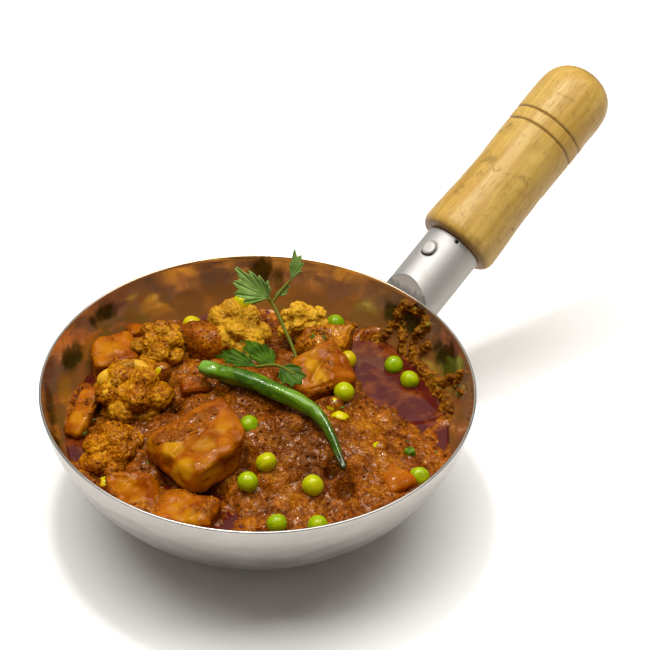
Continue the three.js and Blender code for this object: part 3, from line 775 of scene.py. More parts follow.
def build_bowl():
    outside = wall_arc(0, 0, RIM_HEIGHT - LIP_RISE, 60)
    inside = wall_arc(WALL, WALL, RIM_HEIGHT - LIP_RISE, 60)[::-1]
    outer, inner = outside[-1], inside[0]
    middle, half = (outer + inner) / 2, (outer[0] - inner[0]) / 2
    around = np.linspace(0, math.pi, 7)[1:-1]
    roll = np.stack([middle[0] + half * np.cos(around), outer[1] + LIP_RISE * np.sin(around)], -1)
    base = outside[0][0]
    foot = [[base * share, 0] for share in (0.02, 0.5, 0.85, 0.97)]
    dish = [[inside[-1][0] * share, WALL] for share in (0.95, 0.8, 0.5, 0.02)]
    profile = np.concatenate([foot, outside, roll, inside, dish])
    outside_rows = len(foot) + len(outside)

    def hammered(rows):
        """Shallow waves left by the spinning tool, the same on both faces of the sheet."""
        wave = 0.22 * swells(rows * (1, 1, 2.2), 17, 3) + 0.12 * swells(rows * (1, 1, 2), 7, 4)
        fade = smoothstep(2, 14, rows[..., 2]) * smoothstep(RIM_HEIGHT, RIM_HEIGHT - 7, rows[..., 2])
        out = unit(rows[..., :2] + 1e-9)
        bent = rows.copy()
        bent[..., :2] -= out * (np.abs(wave) * fade)[..., None]
        return bent

    points, sides, caps = turned_mesh(profile, BOWL_SEGMENTS, hammered)
    mesh = mesh_of("bowl", points, sides, caps)
    height = points[:, 2]
    film = 0.25 + 0.75 * smoothstep(60, 38, height)
    add_values(mesh, "film", film)
    # the dark and golden patches are partly cooked-on stains and partly painted reflections of the food and
    # the leaf
    add_values(mesh, "dark_reflection_and_stain", stained(points, DARK_REFLECTIONS_AND_STAINS))
    add_values(mesh, "glow", stained(points, GOLDEN_REFLECTIONS_AND_STAINS))
    place_piece(mesh, [STEEL_OUTSIDE, STEEL_INSIDE], ["pan_bowl"])
    inner_faces = np.zeros(len(mesh.polygons), np.int32)
    first = (outside_rows + len(roll) // 2 + 1) * BOWL_SEGMENTS
    inner_faces[first : len(sides)] = 1
    inner_faces[len(sides) + BOWL_SEGMENTS :] = 1
    mesh.polygons.foreach_set("material_index", inner_faces)


# ---- The handle, built along X and raised by its own matrix ----
HANDLE_MATRIX = Matrix.Translation(Vector((RIM_RADIUS, 0, HANDLE_ROOT_HEIGHT)) * MM) @ Matrix.Rotation(
    -HANDLE_RISE, 4, "Y"
)
GRIP_MATRIX = HANDLE_MATRIX @ Matrix.Translation(Vector((SOCKET_LENGTH + GAP, 0, 0)) * MM)


def socket_start(across, up):
    """How far along the handle's axis the socket starts at a place on its section."""
    cos, sin = math.cos(HANDLE_RISE), math.sin(HANDLE_RISE)
    lean = math.pi / 2 - MITRE_SLOPE
    facing = np.array([math.cos(lean), -math.sin(lean)])
    from_x = RIM_RADIUS - up * sin
    from_z = HANDLE_ROOT_HEIGHT + up * cos
    rise = facing @ np.array([cos, sin])
    mitre = -(facing[0] * (from_x - RIM_RADIUS - GAP) + facing[1] * (from_z - RIM_HEIGHT)) / rise
    wide, deep = WALL_ACROSS + GAP, WALL_DOWN + GAP
    level = from_z - WALL_CENTRE
    a = (cos / wide) ** 2 + (sin / deep) ** 2
    b = 2 * (from_x * cos / wide**2 + level * sin / deep**2)
    c = (from_x**2 + across**2) / wide**2 + (level / deep) ** 2 - 1
    bowl = (-b + np.sqrt(np.maximum(0, b * b - 4 * a * c))) / (2 * a)
    return np.maximum(mitre, bowl)


def socket_rings():
    """Rings of points from the middle of the closed end, along the outside and back up the bore."""
    turn = np.linspace(0, 2 * math.pi, SOCKET_SEGMENTS, endpoint=False)
    inner = SOCKET_RADIUS - SOCKET_WALL

    def ring(radius, offset):
        across, up = radius * np.sin(turn), radius * np.cos(turn)
        return coordinates(socket_start(across, up) + offset, across, up)

    def tube(radius, start, end, steps):
        along = start + (end - start) * np.linspace(0, 1, steps)[:, None]
        return coordinates(along, radius * np.sin(turn), radius * np.cos(turn))

    front = [ring(SOCKET_RADIUS * share, 0) for share in SOCKET_FRONT]
    front_edge = ring(SOCKET_RADIUS - 0.15, 0.0)
    outer = tube(SOCKET_RADIUS, ring(SOCKET_RADIUS, 0.25)[:, 0], SOCKET_LENGTH - 0.2, 90)
    mouth = [ring(SOCKET_RADIUS - 0.3, 0), ring(inner, 0)]
    for row in mouth:
        row[:, 0] = SOCKET_LENGTH
    bore = tube(inner, SOCKET_LENGTH - 0.5, ring(inner, SOCKET_WALL)[:, 0], 12)
    back = [ring(inner * share, SOCKET_WALL) for share in (0.8, 0.5, 0.02)]
    return np.concatenate([front, [front_edge], outer, mouth, bore, back])


def socket_shade_and_soot(rows, corner, from_hole, from_rivet):
    """How dark the tube is painted: shade in its pin hole and round its rivet, a shadow along the rivet's
    lower edge, a darker seam, and the shade of a gap at its low corner.
    """
    along, up = rows[..., 0], rows[..., 2]
    on_top = up > 0
    # painted shade in the pin hole and in the seat round the rivet
    shade_and_soot = np.maximum(
        smoothstep(1.1, 0.5, from_hole), 0.55 * smoothstep(4.3, 3.3, from_rivet) * on_top
    )
    # a painted shadow along the rivet's lower edge
    lower_edge = smoothstep(0.0, -2.5, along - RIVET_ALONG) * smoothstep(4.4, 3.6, from_rivet)
    shade_and_soot = np.maximum(shade_and_soot * (from_rivet > 3.0) + shade_and_soot * (from_hole < 1.2), lower_edge * on_top)
    seam = smoothstep(1.3, 0.2, along - socket_start(rows[..., 1], up))
    shade_and_soot = np.maximum(shade_and_soot, 0.5 * seam * (up > 2) * (up < 9))
    # painted shade of the gap at the low corner, where the closed end stands off the rim
    return np.maximum(shade_and_soot, 0.9 * smoothstep(3.4, 1.6, distance_from(rows, corner)))


def build_socket():
    """The tube, with its closed end against the bowl, its open mouth, its pin hole and its wing."""
    rings = socket_rings()
    radial = unit(rings * (0, 1, 1) + 1e-9)
    hole = np.array([PIN_HOLE_AT, math.sin(PIN_HOLE_TURN), math.cos(PIN_HOLE_TURN)])
    hole[1:] *= SOCKET_RADIUS
    from_hole = distance_from(rings, hole)
    rows = rings - radial * (0.9 * smoothstep(1.0, 0.35, from_hole))[..., None]
    from_rivet = distance_from(rows[..., :2], (RIVET_ALONG, SOCKET_RADIUS * math.sin(RIVET_TURN)))
    seat = smoothstep(4.6, 3.4, from_rivet) * (rows[..., 2] > 0)
    rows = rows - radial * (0.25 * seat)[..., None]
    points, faces, caps = closed_tube(rows)
    corner = rings[len(SOCKET_FRONT), SOCKET_SEGMENTS * 7 // 12]
    shade_and_soot = socket_shade_and_soot(rows, corner, from_hole, from_rivet)
    dull = np.zeros(shade_and_soot.shape)
    dull[: len(SOCKET_FRONT)] = 1

    wing_points, wing_faces = socket_wing()
    into_handle = HANDLE_MATRIX.inverted()
    wing = np.array([(into_handle @ Vector(point * MM))[:] for point in wing_points]) / MM
    # painted shade on the wing where it folds from the socket
    wing_fold_shade = 0.9 * smoothstep(2.2, 0.8, distance_from(wing - wing.mean(0), (2, 1.5, 2)))
    mesh = mesh_of("socket", np.concatenate([points, wing]), faces, wing_faces + len(points), caps)
    add_values(mesh, "shade_and_soot", np.concatenate([np.clip(shade_and_soot, 0, 1).ravel(), [0, 0], wing_fold_shade]))
    add_values(mesh, "dull", np.concatenate([dull.ravel(), [1, 0], np.full(len(wing), 0.7)]))
    place_piece(mesh, [SOCKET_STEEL], ["handle_socket"], HANDLE_MATRIX)


def socket_wing():
    """The strip beaten out of the socket and welded along the outside of the rim."""
    steps, rows = 40, 16
    turn = np.radians(np.linspace(*WING_TURN, steps))[None, :]
    up = np.linspace(0, 1, rows)[:, None]
    share = np.linspace(0, 1, steps)[None, :]
    thin = WING_THICKNESS * (1 - WING_THINNING * share)
    swell = np.sqrt(np.maximum(0, 1 - (2 * up - 1) ** 4)) * np.sqrt(np.maximum(0, 1 - share**6))
    tall = WING_HEIGHT * (1 - WING_NARROWING * share)
    top = RIM_HEIGHT - 0.6
    height = top - tall + tall * up
    inner = wall_radius(height) + 0.1
    outer = inner + 0.05 + thin * swell

    def sheet(radius):
        return coordinates(radius * np.cos(turn), radius * np.sin(turn), height).reshape(-1, 3)

    front, back = sheet(outer), sheet(inner)
    count = steps * rows
    faces = grid_faces(rows, steps)
    ends = []
    for line in (
        np.arange(steps),
        np.arange(count - steps, count)[::-1],
        np.arange(0, count, steps)[::-1],
        np.arange(steps - 1, count, steps),
    ):
        a, b = line[:-1], line[1:]
        ends.append(np.stack([a, a + count, b + count, b], -1))
    return np.concatenate([front, back]), np.concatenate([faces, faces[:, ::-1] + count, *ends])


def grip_radius(distance):
    along = distance / GRIP_LENGTH
    narrowed = (GRIP_BULB_RADIUS - GRIP_WAIST_RADIUS) * smoothstep(GRIP_BULB_AT, GRIP_WAIST_AT, along)
    swelled = (GRIP_END_RADIUS - GRIP_WAIST_RADIUS) * smoothstep(GRIP_WAIST_AT, GRIP_ROUND_AT, along)
    rounded = np.clip((along - GRIP_ROUND_AT) / (1 - GRIP_ROUND_AT), 0, 1) ** GRIP_END_FLATNESS
    radius = (GRIP_BULB_RADIUS - narrowed + swelled) * np.sqrt(1 - GRIP_END_CLOSING * rounded)
    return radius - GROOVE_DEPTH * in_grooves(distance)


def in_grooves(distance):
    """1 in the middle of a turned groove and 0 away from one."""
    return sum(np.exp(-(((distance - groove) / GROOVE_HALF_WIDTH) ** 2)) for groove in GRIP_GROOVES)


def build_grip():
    inner = SOCKET_RADIUS - SOCKET_WALL - GAP
    tang = [
        [0.05, -TANG_LENGTH], [inner - 1, -TANG_LENGTH], [inner, 1 - TANG_LENGTH],
        [inner, -8], [inner, -0.2], [inner + 1, 0],
    ]
    shoulder = [[radius, distance] for distance, radius in GRIP_SHOULDER]
    stretches = ((4.2, 61, 80), (61.2, 71, 60), (71.6, 101, 50), (101.4, GRIP_LENGTH, 12))
    along = np.concatenate([np.linspace(*stretch) for stretch in stretches])
    profile = np.concatenate([tang, shoulder, np.stack([grip_radius(along), along], -1)])

    def handled(rows):
        """A turned surface is never quite true, and this one has knocks from use."""
        radial = unit(rows * (1, 1, 0) + 1e-9)
        dent = 0.10 * swells(rows, 14, 11) + 0.03 * swells(rows * (1, 1, 0.3), 3, 12)
        knock = -0.35 * smoothstep(0.62, 0.85, grains(rows, 11, 13)) * smoothstep(20, 40, rows[..., 2])
        fade = smoothstep(1, 6, rows[..., 2])
        worn_end = smoothstep(70, 95, rows[..., 2])
        moved = rows + radial * ((dent + knock - 0.16 - 0.2 * worn_end) * fade)[..., None]
        return moved - np.array((0, 0, 0.2)) * worn_end[..., None]

    points, sides, caps = turned_mesh(profile, GRIP_SEGMENTS, handled)
    points = points[:, [2, 0, 1]]
    mesh = mesh_of("grip", points, sides, caps)
    distance = points[:, 0]
    # darker at the socket end, in the turned grooves and at the far end
    ring = 0.75 * smoothstep(1.8, 0.3, distance)
    browned = 0.6 * smoothstep(96, 101, distance)
    add_values(mesh, "darker_bands", np.clip(ring + 0.7 * in_grooves(distance) + browned, 0, 1))
    around = np.degrees(np.arctan2(points[:, 2], points[:, 1]))
    knocked = [
        np.exp(-(((distance - place) / long) ** 2) - ((around - turn) / wide) ** 2)
        for place, long, turn, wide in KNOCKS
    ]
    add_values(mesh, "knocked", np.max(knocked, axis=0))
    place_piece(mesh, [GRIP_WOOD], ["handle_grip"], GRIP_MATRIX)


def build_rivet():
    shares = np.linspace(0.05, 1, 10)
    dome = np.stack([RIVET_RADIUS * 0.93 * shares, RIVET_HEIGHT * (1 - 0.25 * shares**4)], -1)
    edge = [[RIVET_RADIUS, RIVET_HEIGHT * 0.5], [RIVET_RADIUS, 0.1]]
    foot = [[RIVET_RADIUS * share, -0.25] for share in (0.97, 0.5, 0.05)]
    profile = np.concatenate([dome, edge, foot])[::-1]
    points, sides, caps = turned_mesh(profile, RIVET_SEGMENTS)
    mesh = mesh_of("rivet", points, sides, caps)
    # painted shade round the rivet's foot, where it meets the socket
    add_values(mesh, "shade_and_soot", 0.5 * smoothstep(0.5, -0.1, points[:, 2]))
    add_values(mesh, "dull", np.zeros(len(points)))
    seat = SOCKET_RADIUS - 0.05
    spot = Vector(
        (RIVET_ALONG, seat * math.sin(RIVET_TURN), seat * math.cos(RIVET_TURN))
    )
    matrix = HANDLE_MATRIX @ Matrix.Translation(spot * MM) @ Matrix.Rotation(-RIVET_TURN, 4, "X")
    place_piece(mesh, [SOCKET_STEEL], ["socket_rivet"], matrix)


# ---- Curves ----
def smooth_curve(knots, steps, closed=False):
    """Points along a centripetal Catmull-Rom curve through the knots."""
    knots = [np.array(knot, float) for knot in knots]
    if closed:
        line = [knots[-1], *knots, knots[0], knots[1]]
    else:
        line = [2 * knots[0] - knots[1], *knots, 2 * knots[-1] - knots[-2]]
    made = []
    for p0, p1, p2, p3 in zip(line, line[1:], line[2:], line[3:]):
        t0 = 0.0
        t1 = t0 + np.linalg.norm(p1 - p0) ** 0.5
        t2 = t1 + np.linalg.norm(p2 - p1) ** 0.5
        t3 = t2 + np.linalg.norm(p3 - p2) ** 0.5
        t = np.linspace(t1, t2, steps, endpoint=False)[:, None]
        a1 = ((t1 - t) * p0 + (t - t0) * p1) / (t1 - t0)
        a2 = ((t2 - t) * p1 + (t - t1) * p2) / (t2 - t1)
        a3 = ((t3 - t) * p2 + (t - t2) * p3) / (t3 - t2)
        b1 = ((t2 - t) * a1 + (t - t0) * a2) / (t2 - t0)
        b2 = ((t3 - t) * a2 + (t - t1) * a3) / (t3 - t1)
        made.append(((t2 - t) * b1 + (t - t1) * b2) / (t2 - t1))
    if not closed:
        made.append(line[-2][None])
    return np.concatenate(made)


def evenly(curve, count):
    """The same curve at count points, evenly spaced along it, and the ways it runs there."""
    lengths = np.concatenate([[0], np.cumsum(np.linalg.norm(np.diff(curve, axis=0), axis=1))])
    wanted = np.linspace(0, lengths[-1], count)
    points = np.stack([np.interp(wanted, lengths, curve[:, axis]) for axis in range(3)], -1)
    return points, unit(np.gradient(points, axis=0))


def tube_rows(centres, ways, radii, segments, shape=None):
    """Rings of points round a curve. shape(turn, share) scales each point's distance from it."""
    side = unit(np.cross([0, 0, 1], ways))
    top = np.cross(ways, side)
    turn = np.linspace(0, 2 * math.pi, segments, endpoint=False)
    share = np.linspace(0, 1, len(centres))[:, None]
    reach = radii[:, None] * (shape(turn, share) if shape else np.ones((1, segments)))
    sideways = side[:, None] * (np.cos(turn) * reach)[..., None]
    upwards = top[:, None] * (np.sin(turn) * reach)[..., None]
    return centres[:, None] + (sideways + upwards)


# ---- The gravy and the oil ----
# 0 is fresh green, a third yellow-green, two thirds yellow and 1 brown olive, in the nodes' order
RIPENESS = (
    0.12, 0.22, 0.45, 0.42, 0.15, 0.2, 0.05, 0.86, 0.35, 0.12,
    0.28, 0.18, 0.6, 0.62, 0.55, 0.6, 0.75, 0.5, 0.8, 0.85,
)
PEAS = [f"pea_{number:02d}" for number in range(1, len(RIPENESS) + 1)]
# pea: how much of it is smeared with masala
SMEARED = {3: 0.35, 8: 0.2, 13: 0.6, 14: 0.7, 15: 0.7, 16: 0.6, 17: 0.35, 19: 0.5, 20: 0.75}
# x, y, height and spreads of the mounds of masala over the oil's level, as in the part
MOUNDS = (
    (12, -13, 14.5, 36, 27),
    (-30, 15, 8, 32, 32),
    (54, -28, 5.5, 22, 22),
    (0, 40, 5, 34, 15),
    (-50, -38, 4, 26, 20),
    (51, 65, 4, 15, 4),
)
POOL_SHORE = smooth_curve(
    [
        (41, 56, 0), (55, 61, 0), (64, 46, 0), (75, 38, 0), (83, 20, 0),
        (76, 10, 0), (67, 6, 0), (57, 8, 0), (48, 18, 0), (42, 30, 0),
    ],
    8,
    closed=True,
)[:, :2]
# x, y, depth and spread of small hollows where the oil stands clear of the masala, and of a lump in
# the pool, whose depth is below 0
POCKETS = (
    (-78, -14, 3.2, 7),
    (-64, -50, 3.0, 9),
    (34, 70, 5.0, 11),
    (15, 78, 5.0, 8),
    (-25, 74, 5.5, 10),
    (80, -2, 4.0, 6),
    (72, -24, 3.5, 4),
    (-72, 30, 2.8, 8),
    (-35, -38, 4.0, 5),
    (66, -18, 2.5, 5),
    (-19, -45, 3.2, 8),
    (-3, -31, 2.5, 5),
    (31, -34, 4.0, 3.5),
    (38, -41, 5.0, 4.5),
    (-60, -42, 4.0, 7),
    (-77, -19, 4.0, 6),
    (-35, 1.5, 4.5, 3.5),
    (-3, -38, 4.0, 4),
    (56.5, 13, -5.5, 4),
)


def shore_distance(flat):
    """Distance inside the pool's shore, below 0 outside it."""
    shore = np.concatenate([POOL_SHORE, POOL_SHORE[:1]])
    inside = np.zeros(len(flat), bool)
    for a, b in zip(shore, shore[1:]):
        crosses = (a[1] > flat[:, 1]) != (b[1] > flat[:, 1])
        slope = (b[0] - a[0]) / (b[1] - a[1] if b[1] != a[1] else 1e-9)
        inside ^= crosses & (flat[:, 0] < slope * (flat[:, 1] - a[1]) + a[0])
    nearest = line_distance(flat, shore)
    return np.where(inside, nearest, -nearest)


def gravy_level(flat):
    """The height of the masala's surface before its grain, over points of the oil's plane."""
    x, y = flat[:, 0], flat[:, 1]
    level = np.full(len(flat), OIL_LEVEL + 0.5)
    for mx, my, height, sx, sy in MOUNDS:
        level += height * np.exp(-(((x - mx) / sx) ** 2) - ((y - my) / sy) ** 2)
    for px, py, depth, spread in POCKETS:
        level -= depth * np.exp(-((x - px) ** 2 + (y - py) ** 2) / spread**2)
    place = np.column_stack([flat, np.zeros(len(flat))])
    shore = shore_distance(flat) + 2.4 * swells(place, 7, 21) + 1.1 * swells(place, 2.6, 22)
    return level - 5.5 * smoothstep(-1.2, 3.0, shore)


def middle_of(node):
    """The middle of a CAD node, in the part's frame."""
    low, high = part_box(node)
    return np.array((low + high) / 2) / MM


def heaped(flat, level):
    """The level with masala drawn up round every pea that lies on it."""
    for node in PEAS:
        centre = middle_of(node)
        apart = distance_from(flat, turned(centre[0], centre[1], HANDLE_TURN))
        under = level[apart.argmin()]
        if OIL_LEVEL < under and 0 < centre[2] - under < 6:
            drawn = np.exp(-((apart / 6.5) ** 2)) * (centre[2] - 0.6 - under)
            level = level + np.maximum(drawn, 0)
    return level


def disc_grid(count):
    """A square grid of points pressed into a unit disc without crowding, and its faces."""
    side = np.linspace(-1, 1, count)
    a, b = np.meshgrid(side, side)
    a, b = a.ravel(), b.ravel()
    wide = np.abs(a) > np.abs(b)
    radius = np.where(wide, a, b)
    with np.errstate(divide="ignore", invalid="ignore"):
        turn = np.where(wide, (math.pi / 4) * (b / a), math.pi / 2 - (math.pi / 4) * (a / b))
    turn = np.nan_to_num(turn)
    return np.stack([radius * np.cos(turn), radius * np.sin(turn)], -1), grid_faces(count, count)


def masala_grain(place, seed):
    """Relief of fried masala in millimetres, lumps on lumps down to single grains, and the shade painted in
    its hollows.
    """
    stray = drifts(place, 2.4, seed + 1) + 1.6 * drifts(place, 7, seed + 4)
    strewn = place + 0.7 * stray
    lumps = grains(strewn, 4.6, seed + 7)
    clots = grains(strewn, 2.4, seed + 11)
    crumbs = grains(place + 0.3 * stray, 1.3, seed + 15)
    relief = 1.5 * lumps + 0.85 * clots + 0.4 * crumbs - 1.4
    hollows = 1 - smoothstep(0.16, 0.48, 0.42 * lumps + 0.38 * clots + 0.20 * crumbs)
    return relief, hollows


def gravy_surface():
    """Points and faces of the masala's surface, and the shade painted on each place for lying low."""
    disc, faces = disc_grid(GRAVY_GRID)
    share = np.linalg.norm(disc, axis=1, keepdims=True)
    flat = disc * wall_radius(OIL_LEVEL + 1, WALL)
    for _ in range(3):
        level = gravy_level(flat)
        flat = disc * (wall_radius(level, WALL) + 0.3)[:, None]
    level = heaped(flat, gravy_level(flat))
    place = np.column_stack([flat, np.zeros(len(flat))])
    relief, hollows = masala_grain(place, 31)
    relief = relief + 3.0 * grains(place + 3 * swells(place, 9, 44)[:, None], 11, 43) - 1.5
    relief = relief + 1.6 * swells(place, 15, 45)
    calm = smoothstep(OIL_LEVEL - 2.5, OIL_LEVEL + 1.5, level)
    shelf = smoothstep(0.965, 1.0, share[:, 0])
    level = level + relief * (0.3 + 0.7 * calm) * (1 - 0.7 * shelf) + 0.6 * shelf
    heights = level.reshape(GRAVY_GRID, GRAVY_GRID)
    # painted shade where the surface lies lower than its surroundings
    low = np.maximum(sunken(heights, 4, 1.6), 0.9 * sunken(heights, 12, 3.2)).ravel()
    points = drawn_in(np.column_stack([flat, level]), wall_radius(level, WALL) - 0.02)
    hollow_and_low_shade = np.maximum(0.55 * hollows, low) * (0.4 + 0.6 * calm)
    # the masala is thickest just right of the middle, and is painted darker there
    thick = 0.38 * np.exp(-(((place[:, 0] - 16) / 20) ** 2) - ((place[:, 1] + 20) / 20) ** 2)
    return points, faces, hollow_and_low_shade * (1 - thick) + thick


def build_gravy():
    """The masala; gives back the places that stand clear of the oil, where crumbs can lie."""
    points, faces, crevice_shade_and_browning = gravy_surface()
    mesh = mesh_of("gravy_surface", as_served(points), faces)
    add_values(mesh, "crevice_shade_and_browning", crevice_shade_and_browning)
    place_piece(mesh, [MASALA], ["gravy"])
    off_the_wall = np.linalg.norm(points[:, :2], axis=1) < RIM_RADIUS - CRUMB_MARGIN
    return points[(points[:, 2] > OIL_LEVEL + 0.6) & off_the_wall]


def build_oil():
    """The oil, drawn up a little where it meets the masala on its shore."""
    disc, faces = disc_grid(OIL_GRID)
    share = np.linalg.norm(disc, axis=1)
    flat = disc * wall_radius(OIL_LEVEL, WALL)
    place = np.column_stack([flat, np.zeros(len(disc))])
    shore = np.abs(shore_distance(flat) - 1.0)
    level = OIL_LEVEL + 0.10 * swells(place, 12, 51) + 0.5 * smoothstep(0.985, 1.0, share)
    level = level + 0.25 * np.exp(-((shore / 1.3) ** 2))
    top = np.column_stack([disc * (wall_radius(level, WALL) - 0.05)[:, None], level])
    count = len(disc)
    grid = np.arange(count).reshape(OIL_GRID, OIL_GRID)
    edge = np.concatenate([grid[0, :-1], grid[:-1, -1], grid[-1, :0:-1], grid[:0:-1, 0]])
    bottom = np.full(len(edge), OIL_LEVEL - OIL_DEPTH)
    under = np.column_stack([disc[edge] * (wall_radius(bottom[0], WALL) - 0.3), bottom])
    below = count + np.arange(len(edge))
    side = np.stack([np.roll(edge, -1), edge, below, np.roll(below, -1)], -1)
    points = np.concatenate([top, under, [[0, 0, OIL_LEVEL - OIL_DEPTH]]])
    mesh = mesh_of("oil", as_served(points), faces, side, fan(len(points) - 1, below, True))
    place_piece(mesh, [RED_OIL], ["oil_pool"])


# x, y and radius of the bubbles on the oil
BUBBLES = ((-78.2, 14.5, 1.7), (57.5, 47.5, 1.3), (60.5, 9.0, 1.2), (73.5, 13.0, 0.9), (-76, -16, 1.0))


def build_bubbles():
    directions, faces = BALLS[4]
    sets = [
        directions * (radius, radius, 0.6 * radius) + np.array([x, y, OIL_LEVEL])
        for x, y, radius in BUBBLES
    ]
    points, every = joined(sets, [faces] * len(sets))
    mesh = mesh_of("oil_bubbles", as_served(keep_inside(points)), every)
    place_piece(mesh, [RED_OIL], [])


# ---- Chunks of vegetable ----
def potato_faces(directions, half, seed):
    """How near each direction comes to facing each of the six cut faces of a chunk."""
    random = seeded_random(seed)
    nearness = []
    for axis in range(3):
        for side in (-1, 1):
            normal = np.zeros(3)
            normal[axis] = side
            normal += (np.array([next(random) for _ in range(3)]) - 0.5) * 0.5
            reach = half[axis] * (0.9 + 0.15 * next(random))
            nearness.append(np.maximum(0, directions @ unit(normal) / reach) ** CUT_SHARPNESS)
    return np.array(nearness)


def potato_reach(directions, half, seed):
    """The outline of a chunk with six cut faces and rounded edges, in millimetres."""
    return potato_faces(directions, half, seed).sum(0) ** (-1 / CUT_SHARPNESS)


def floret_reach(directions, seed):
    """The outline of a head of round knobs, in parts of its half sizes."""
    random = seeded_random(seed)
    reaches = [np.full(len(directions), 0.72)]
    for index in range(FLORET_KNOBS):
        height = 1 - 2 * (index + 0.5) / FLORET_KNOBS
        around = index * math.pi * (3 - math.sqrt(5))
        size = 0.3 + 0.14 * next(random)
        flat = math.sqrt(1 - height * height)
        centre = np.array([flat * math.cos(around), flat * math.sin(around), height]) * (1.02 - size)
        along = directions @ centre
        inside = size**2 - centre @ centre + along**2
        far = along + np.sqrt(np.maximum(0, inside))
        reaches.append(np.where(inside > 0, far, 0.3))
    return 0.97 * (np.array(reaches) ** KNOB_SHARPNESS).sum(0) ** (1 / KNOB_SHARPNESS)


def coated_reach(directions, seed):
    """The outline of a lump under masala, in parts of its half sizes."""
    random = seeded_random(seed)
    reach = np.ones(len(directions))
    for _ in range(5):
        way = unit(np.array([next(random) for _ in range(3)]) - 0.5)
        pace = 2.2 + 2.6 * next(random)
        start = 2 * math.pi * next(random)
        reach += 0.055 * np.sin(pace * directions @ way + start)
    return reach


# node: shape, centre, half sizes, turn, lean, fineness, coating from 0 bare to 1 hidden, and the way
# that the barest side faces
CHUNKS = {
    "potato_centre": ("potato", (-22.1, -29.2, 48.5), (15.7, 14.3, 6.8), 39, -8, 6, 0.12, (0.3, -0.5, 0.8)),
    "potato_low_left": ("potato", (-47, -46.5, 36), (10.5, 8, 7), 12, 20, 6, 0.53, (0, -1, 0.3)),
    "potato_low_middle": ("potato", (-25.5, -55, 35.5), (12.5, 8.5, 7.5), -8, 22, 6, 0.52, (0, -1, 0.3)),
    "potato_far_left": ("potato", (-64, 37.5, 41), (10, 9, 7), 20, 12, 6, 0.56, (0, 0, 1)),
    "potato_left_slice": ("potato", (-73.5, 0, 38), (4.5, 11.5, 6.5), -6, 10, 6, 0.61, (0, 0, 1)),
    "potato_right": ("potato", (24.5, 22.5, 44.5), (13, 11, 10), 35, 20, 6, 0.57, (0, -0.6, 0.8)),
    "potato_near_right": ("potato", (56.3, -33, 38.5), (6, 8.5, 6), 25, 12, 5, 0.42, (0, -1, 0.4)),
    "potato_far_bit": ("potato", (-56.2, 55.2, 41.5), (4, 3.4, 3.2), 30, 0, 5, 0.0, (0, 0, 1)),
    "cauliflower_left": ("floret", (-52.7, 9, 44.8), (18.5, 17.5, 14), 10, 8, 6, 0.50, (-0.5, 0.6, 0.6)),
    "cauliflower_low_left": (
        "floret", (-58.8, -22.5, 39.5), (15.5, 12.5, 10), 50, 10, 6, 0.62, (0, 0.3, 0.9)
    ),
    "cauliflower_upper_left": ("floret", (-44.5, 39.5, 46), (13.5, 12.5, 11), 80, 5, 6, 0.42, (0, -1, 0)),
    "cauliflower_far": ("floret", (-11.2, 50, 48), (18.5, 13.5, 13.5), 120, 6, 6, 0.25, (0.8, -0.5, 0)),
    "cauliflower_far_right": ("floret", (17, 55, 49.8), (12, 10, 10), 200, 6, 6, 0.08, (0, -1, 0.4)),
    "cauliflower_stem": ("potato", (26, 44, 45.5), (10.5, 7, 7.5), -12, 18, 6, 0.56, (0, -1, 0)),
    "coated_lump_far": ("coated", (-25.3, 44.5, 44), (12, 10, 9.5), 0, 0, 6, 0.9, (0, 0, 1)),
    "coated_lump_middle": ("coated", (-1, 2.5, 45), (16, 10, 9.5), -14, 0, 6, 0.85, (0, 0, 1)),
    "tomato_bit": ("potato", (-27.2, 11, 47), (6, 4.5, 4.5), 15, 20, 5, 0.55, (0, -1, 0)),
    "chilli_slice": ("potato", (63, -19.5, 41), (2.7, 2.2, 2.8), 35, 0, 5, 0.0, (0, 0, 1)),
}
# floret: how much paler it is than the rest, below 0 for a browner one
PALER = {
    "cauliflower_far": 0.48,
    "cauliflower_far_right": 0.65,
    "cauliflower_upper_left": 0.15,
    "cauliflower_low_left": -0.2,
}
# node: x, y, z and reach of the dabs of masala that lie on it
DABS = {
    "potato_centre": ((-32, -26, 54, 7), (-25.5, -21, 55, 7), (-19, -16, 56, 5), (-38, -28, 51, 4)),
    "cauliflower_left": ((-47, -2, 56, 7),),
}
# node: place, reach and strength of each paler patch, partly paler flesh and partly painted light on faces
# that lie in shade
LIT_AND_PALE_PATCHES = {
    "potato_centre": (
        (-33, -34.5, 52.5, 5, 1), (-27, -43.5, 50, 5.5, 1), (-30, -43, 45, 4, 1),
        (-20, -33, 54, 6, 0.55), (-14, -24, 54, 5, 0.45), (-18, -42, 49, 6, 0.5),
    ),
    "potato_low_left": ((-45, -55, 41, 5, 0.6), (-50, -47, 44, 4, 0.4)),
    "potato_low_middle": ((-24, -63, 41, 6, 0.7), (-30, -57, 43, 4, 0.4)),
    "potato_left_slice": ((-73, -6, 44, 5, 0.5),),
    "potato_far_left": ((-66, 35, 47, 6, 0.35),),
    "potato_right": ((22, 20, 54, 4, 1), (25, 16, 53, 4, 1)),
    "cauliflower_left": ((-56, -9, 42, 11, 0.55), (-43, -5, 42, 9, 0.4)),
    "cauliflower_far_right": ((14, 46, 52, 8, 0.6),),
    "cauliflower_far": ((-6, 38, 50, 8, 0.5),),
}
# node: knots of the brown grooves across a cut face, and how wide they are
GROOVES = {
    "potato_centre": (((-22, -24.5, 55.2), (-26, -32, 54), (-30, -37, 53), (-35.2, -38, 46.5)), 1.7),
    "potato_right": (((28, 27, 54), (25, 21, 54), (22, 14, 52)), 1.4),
}
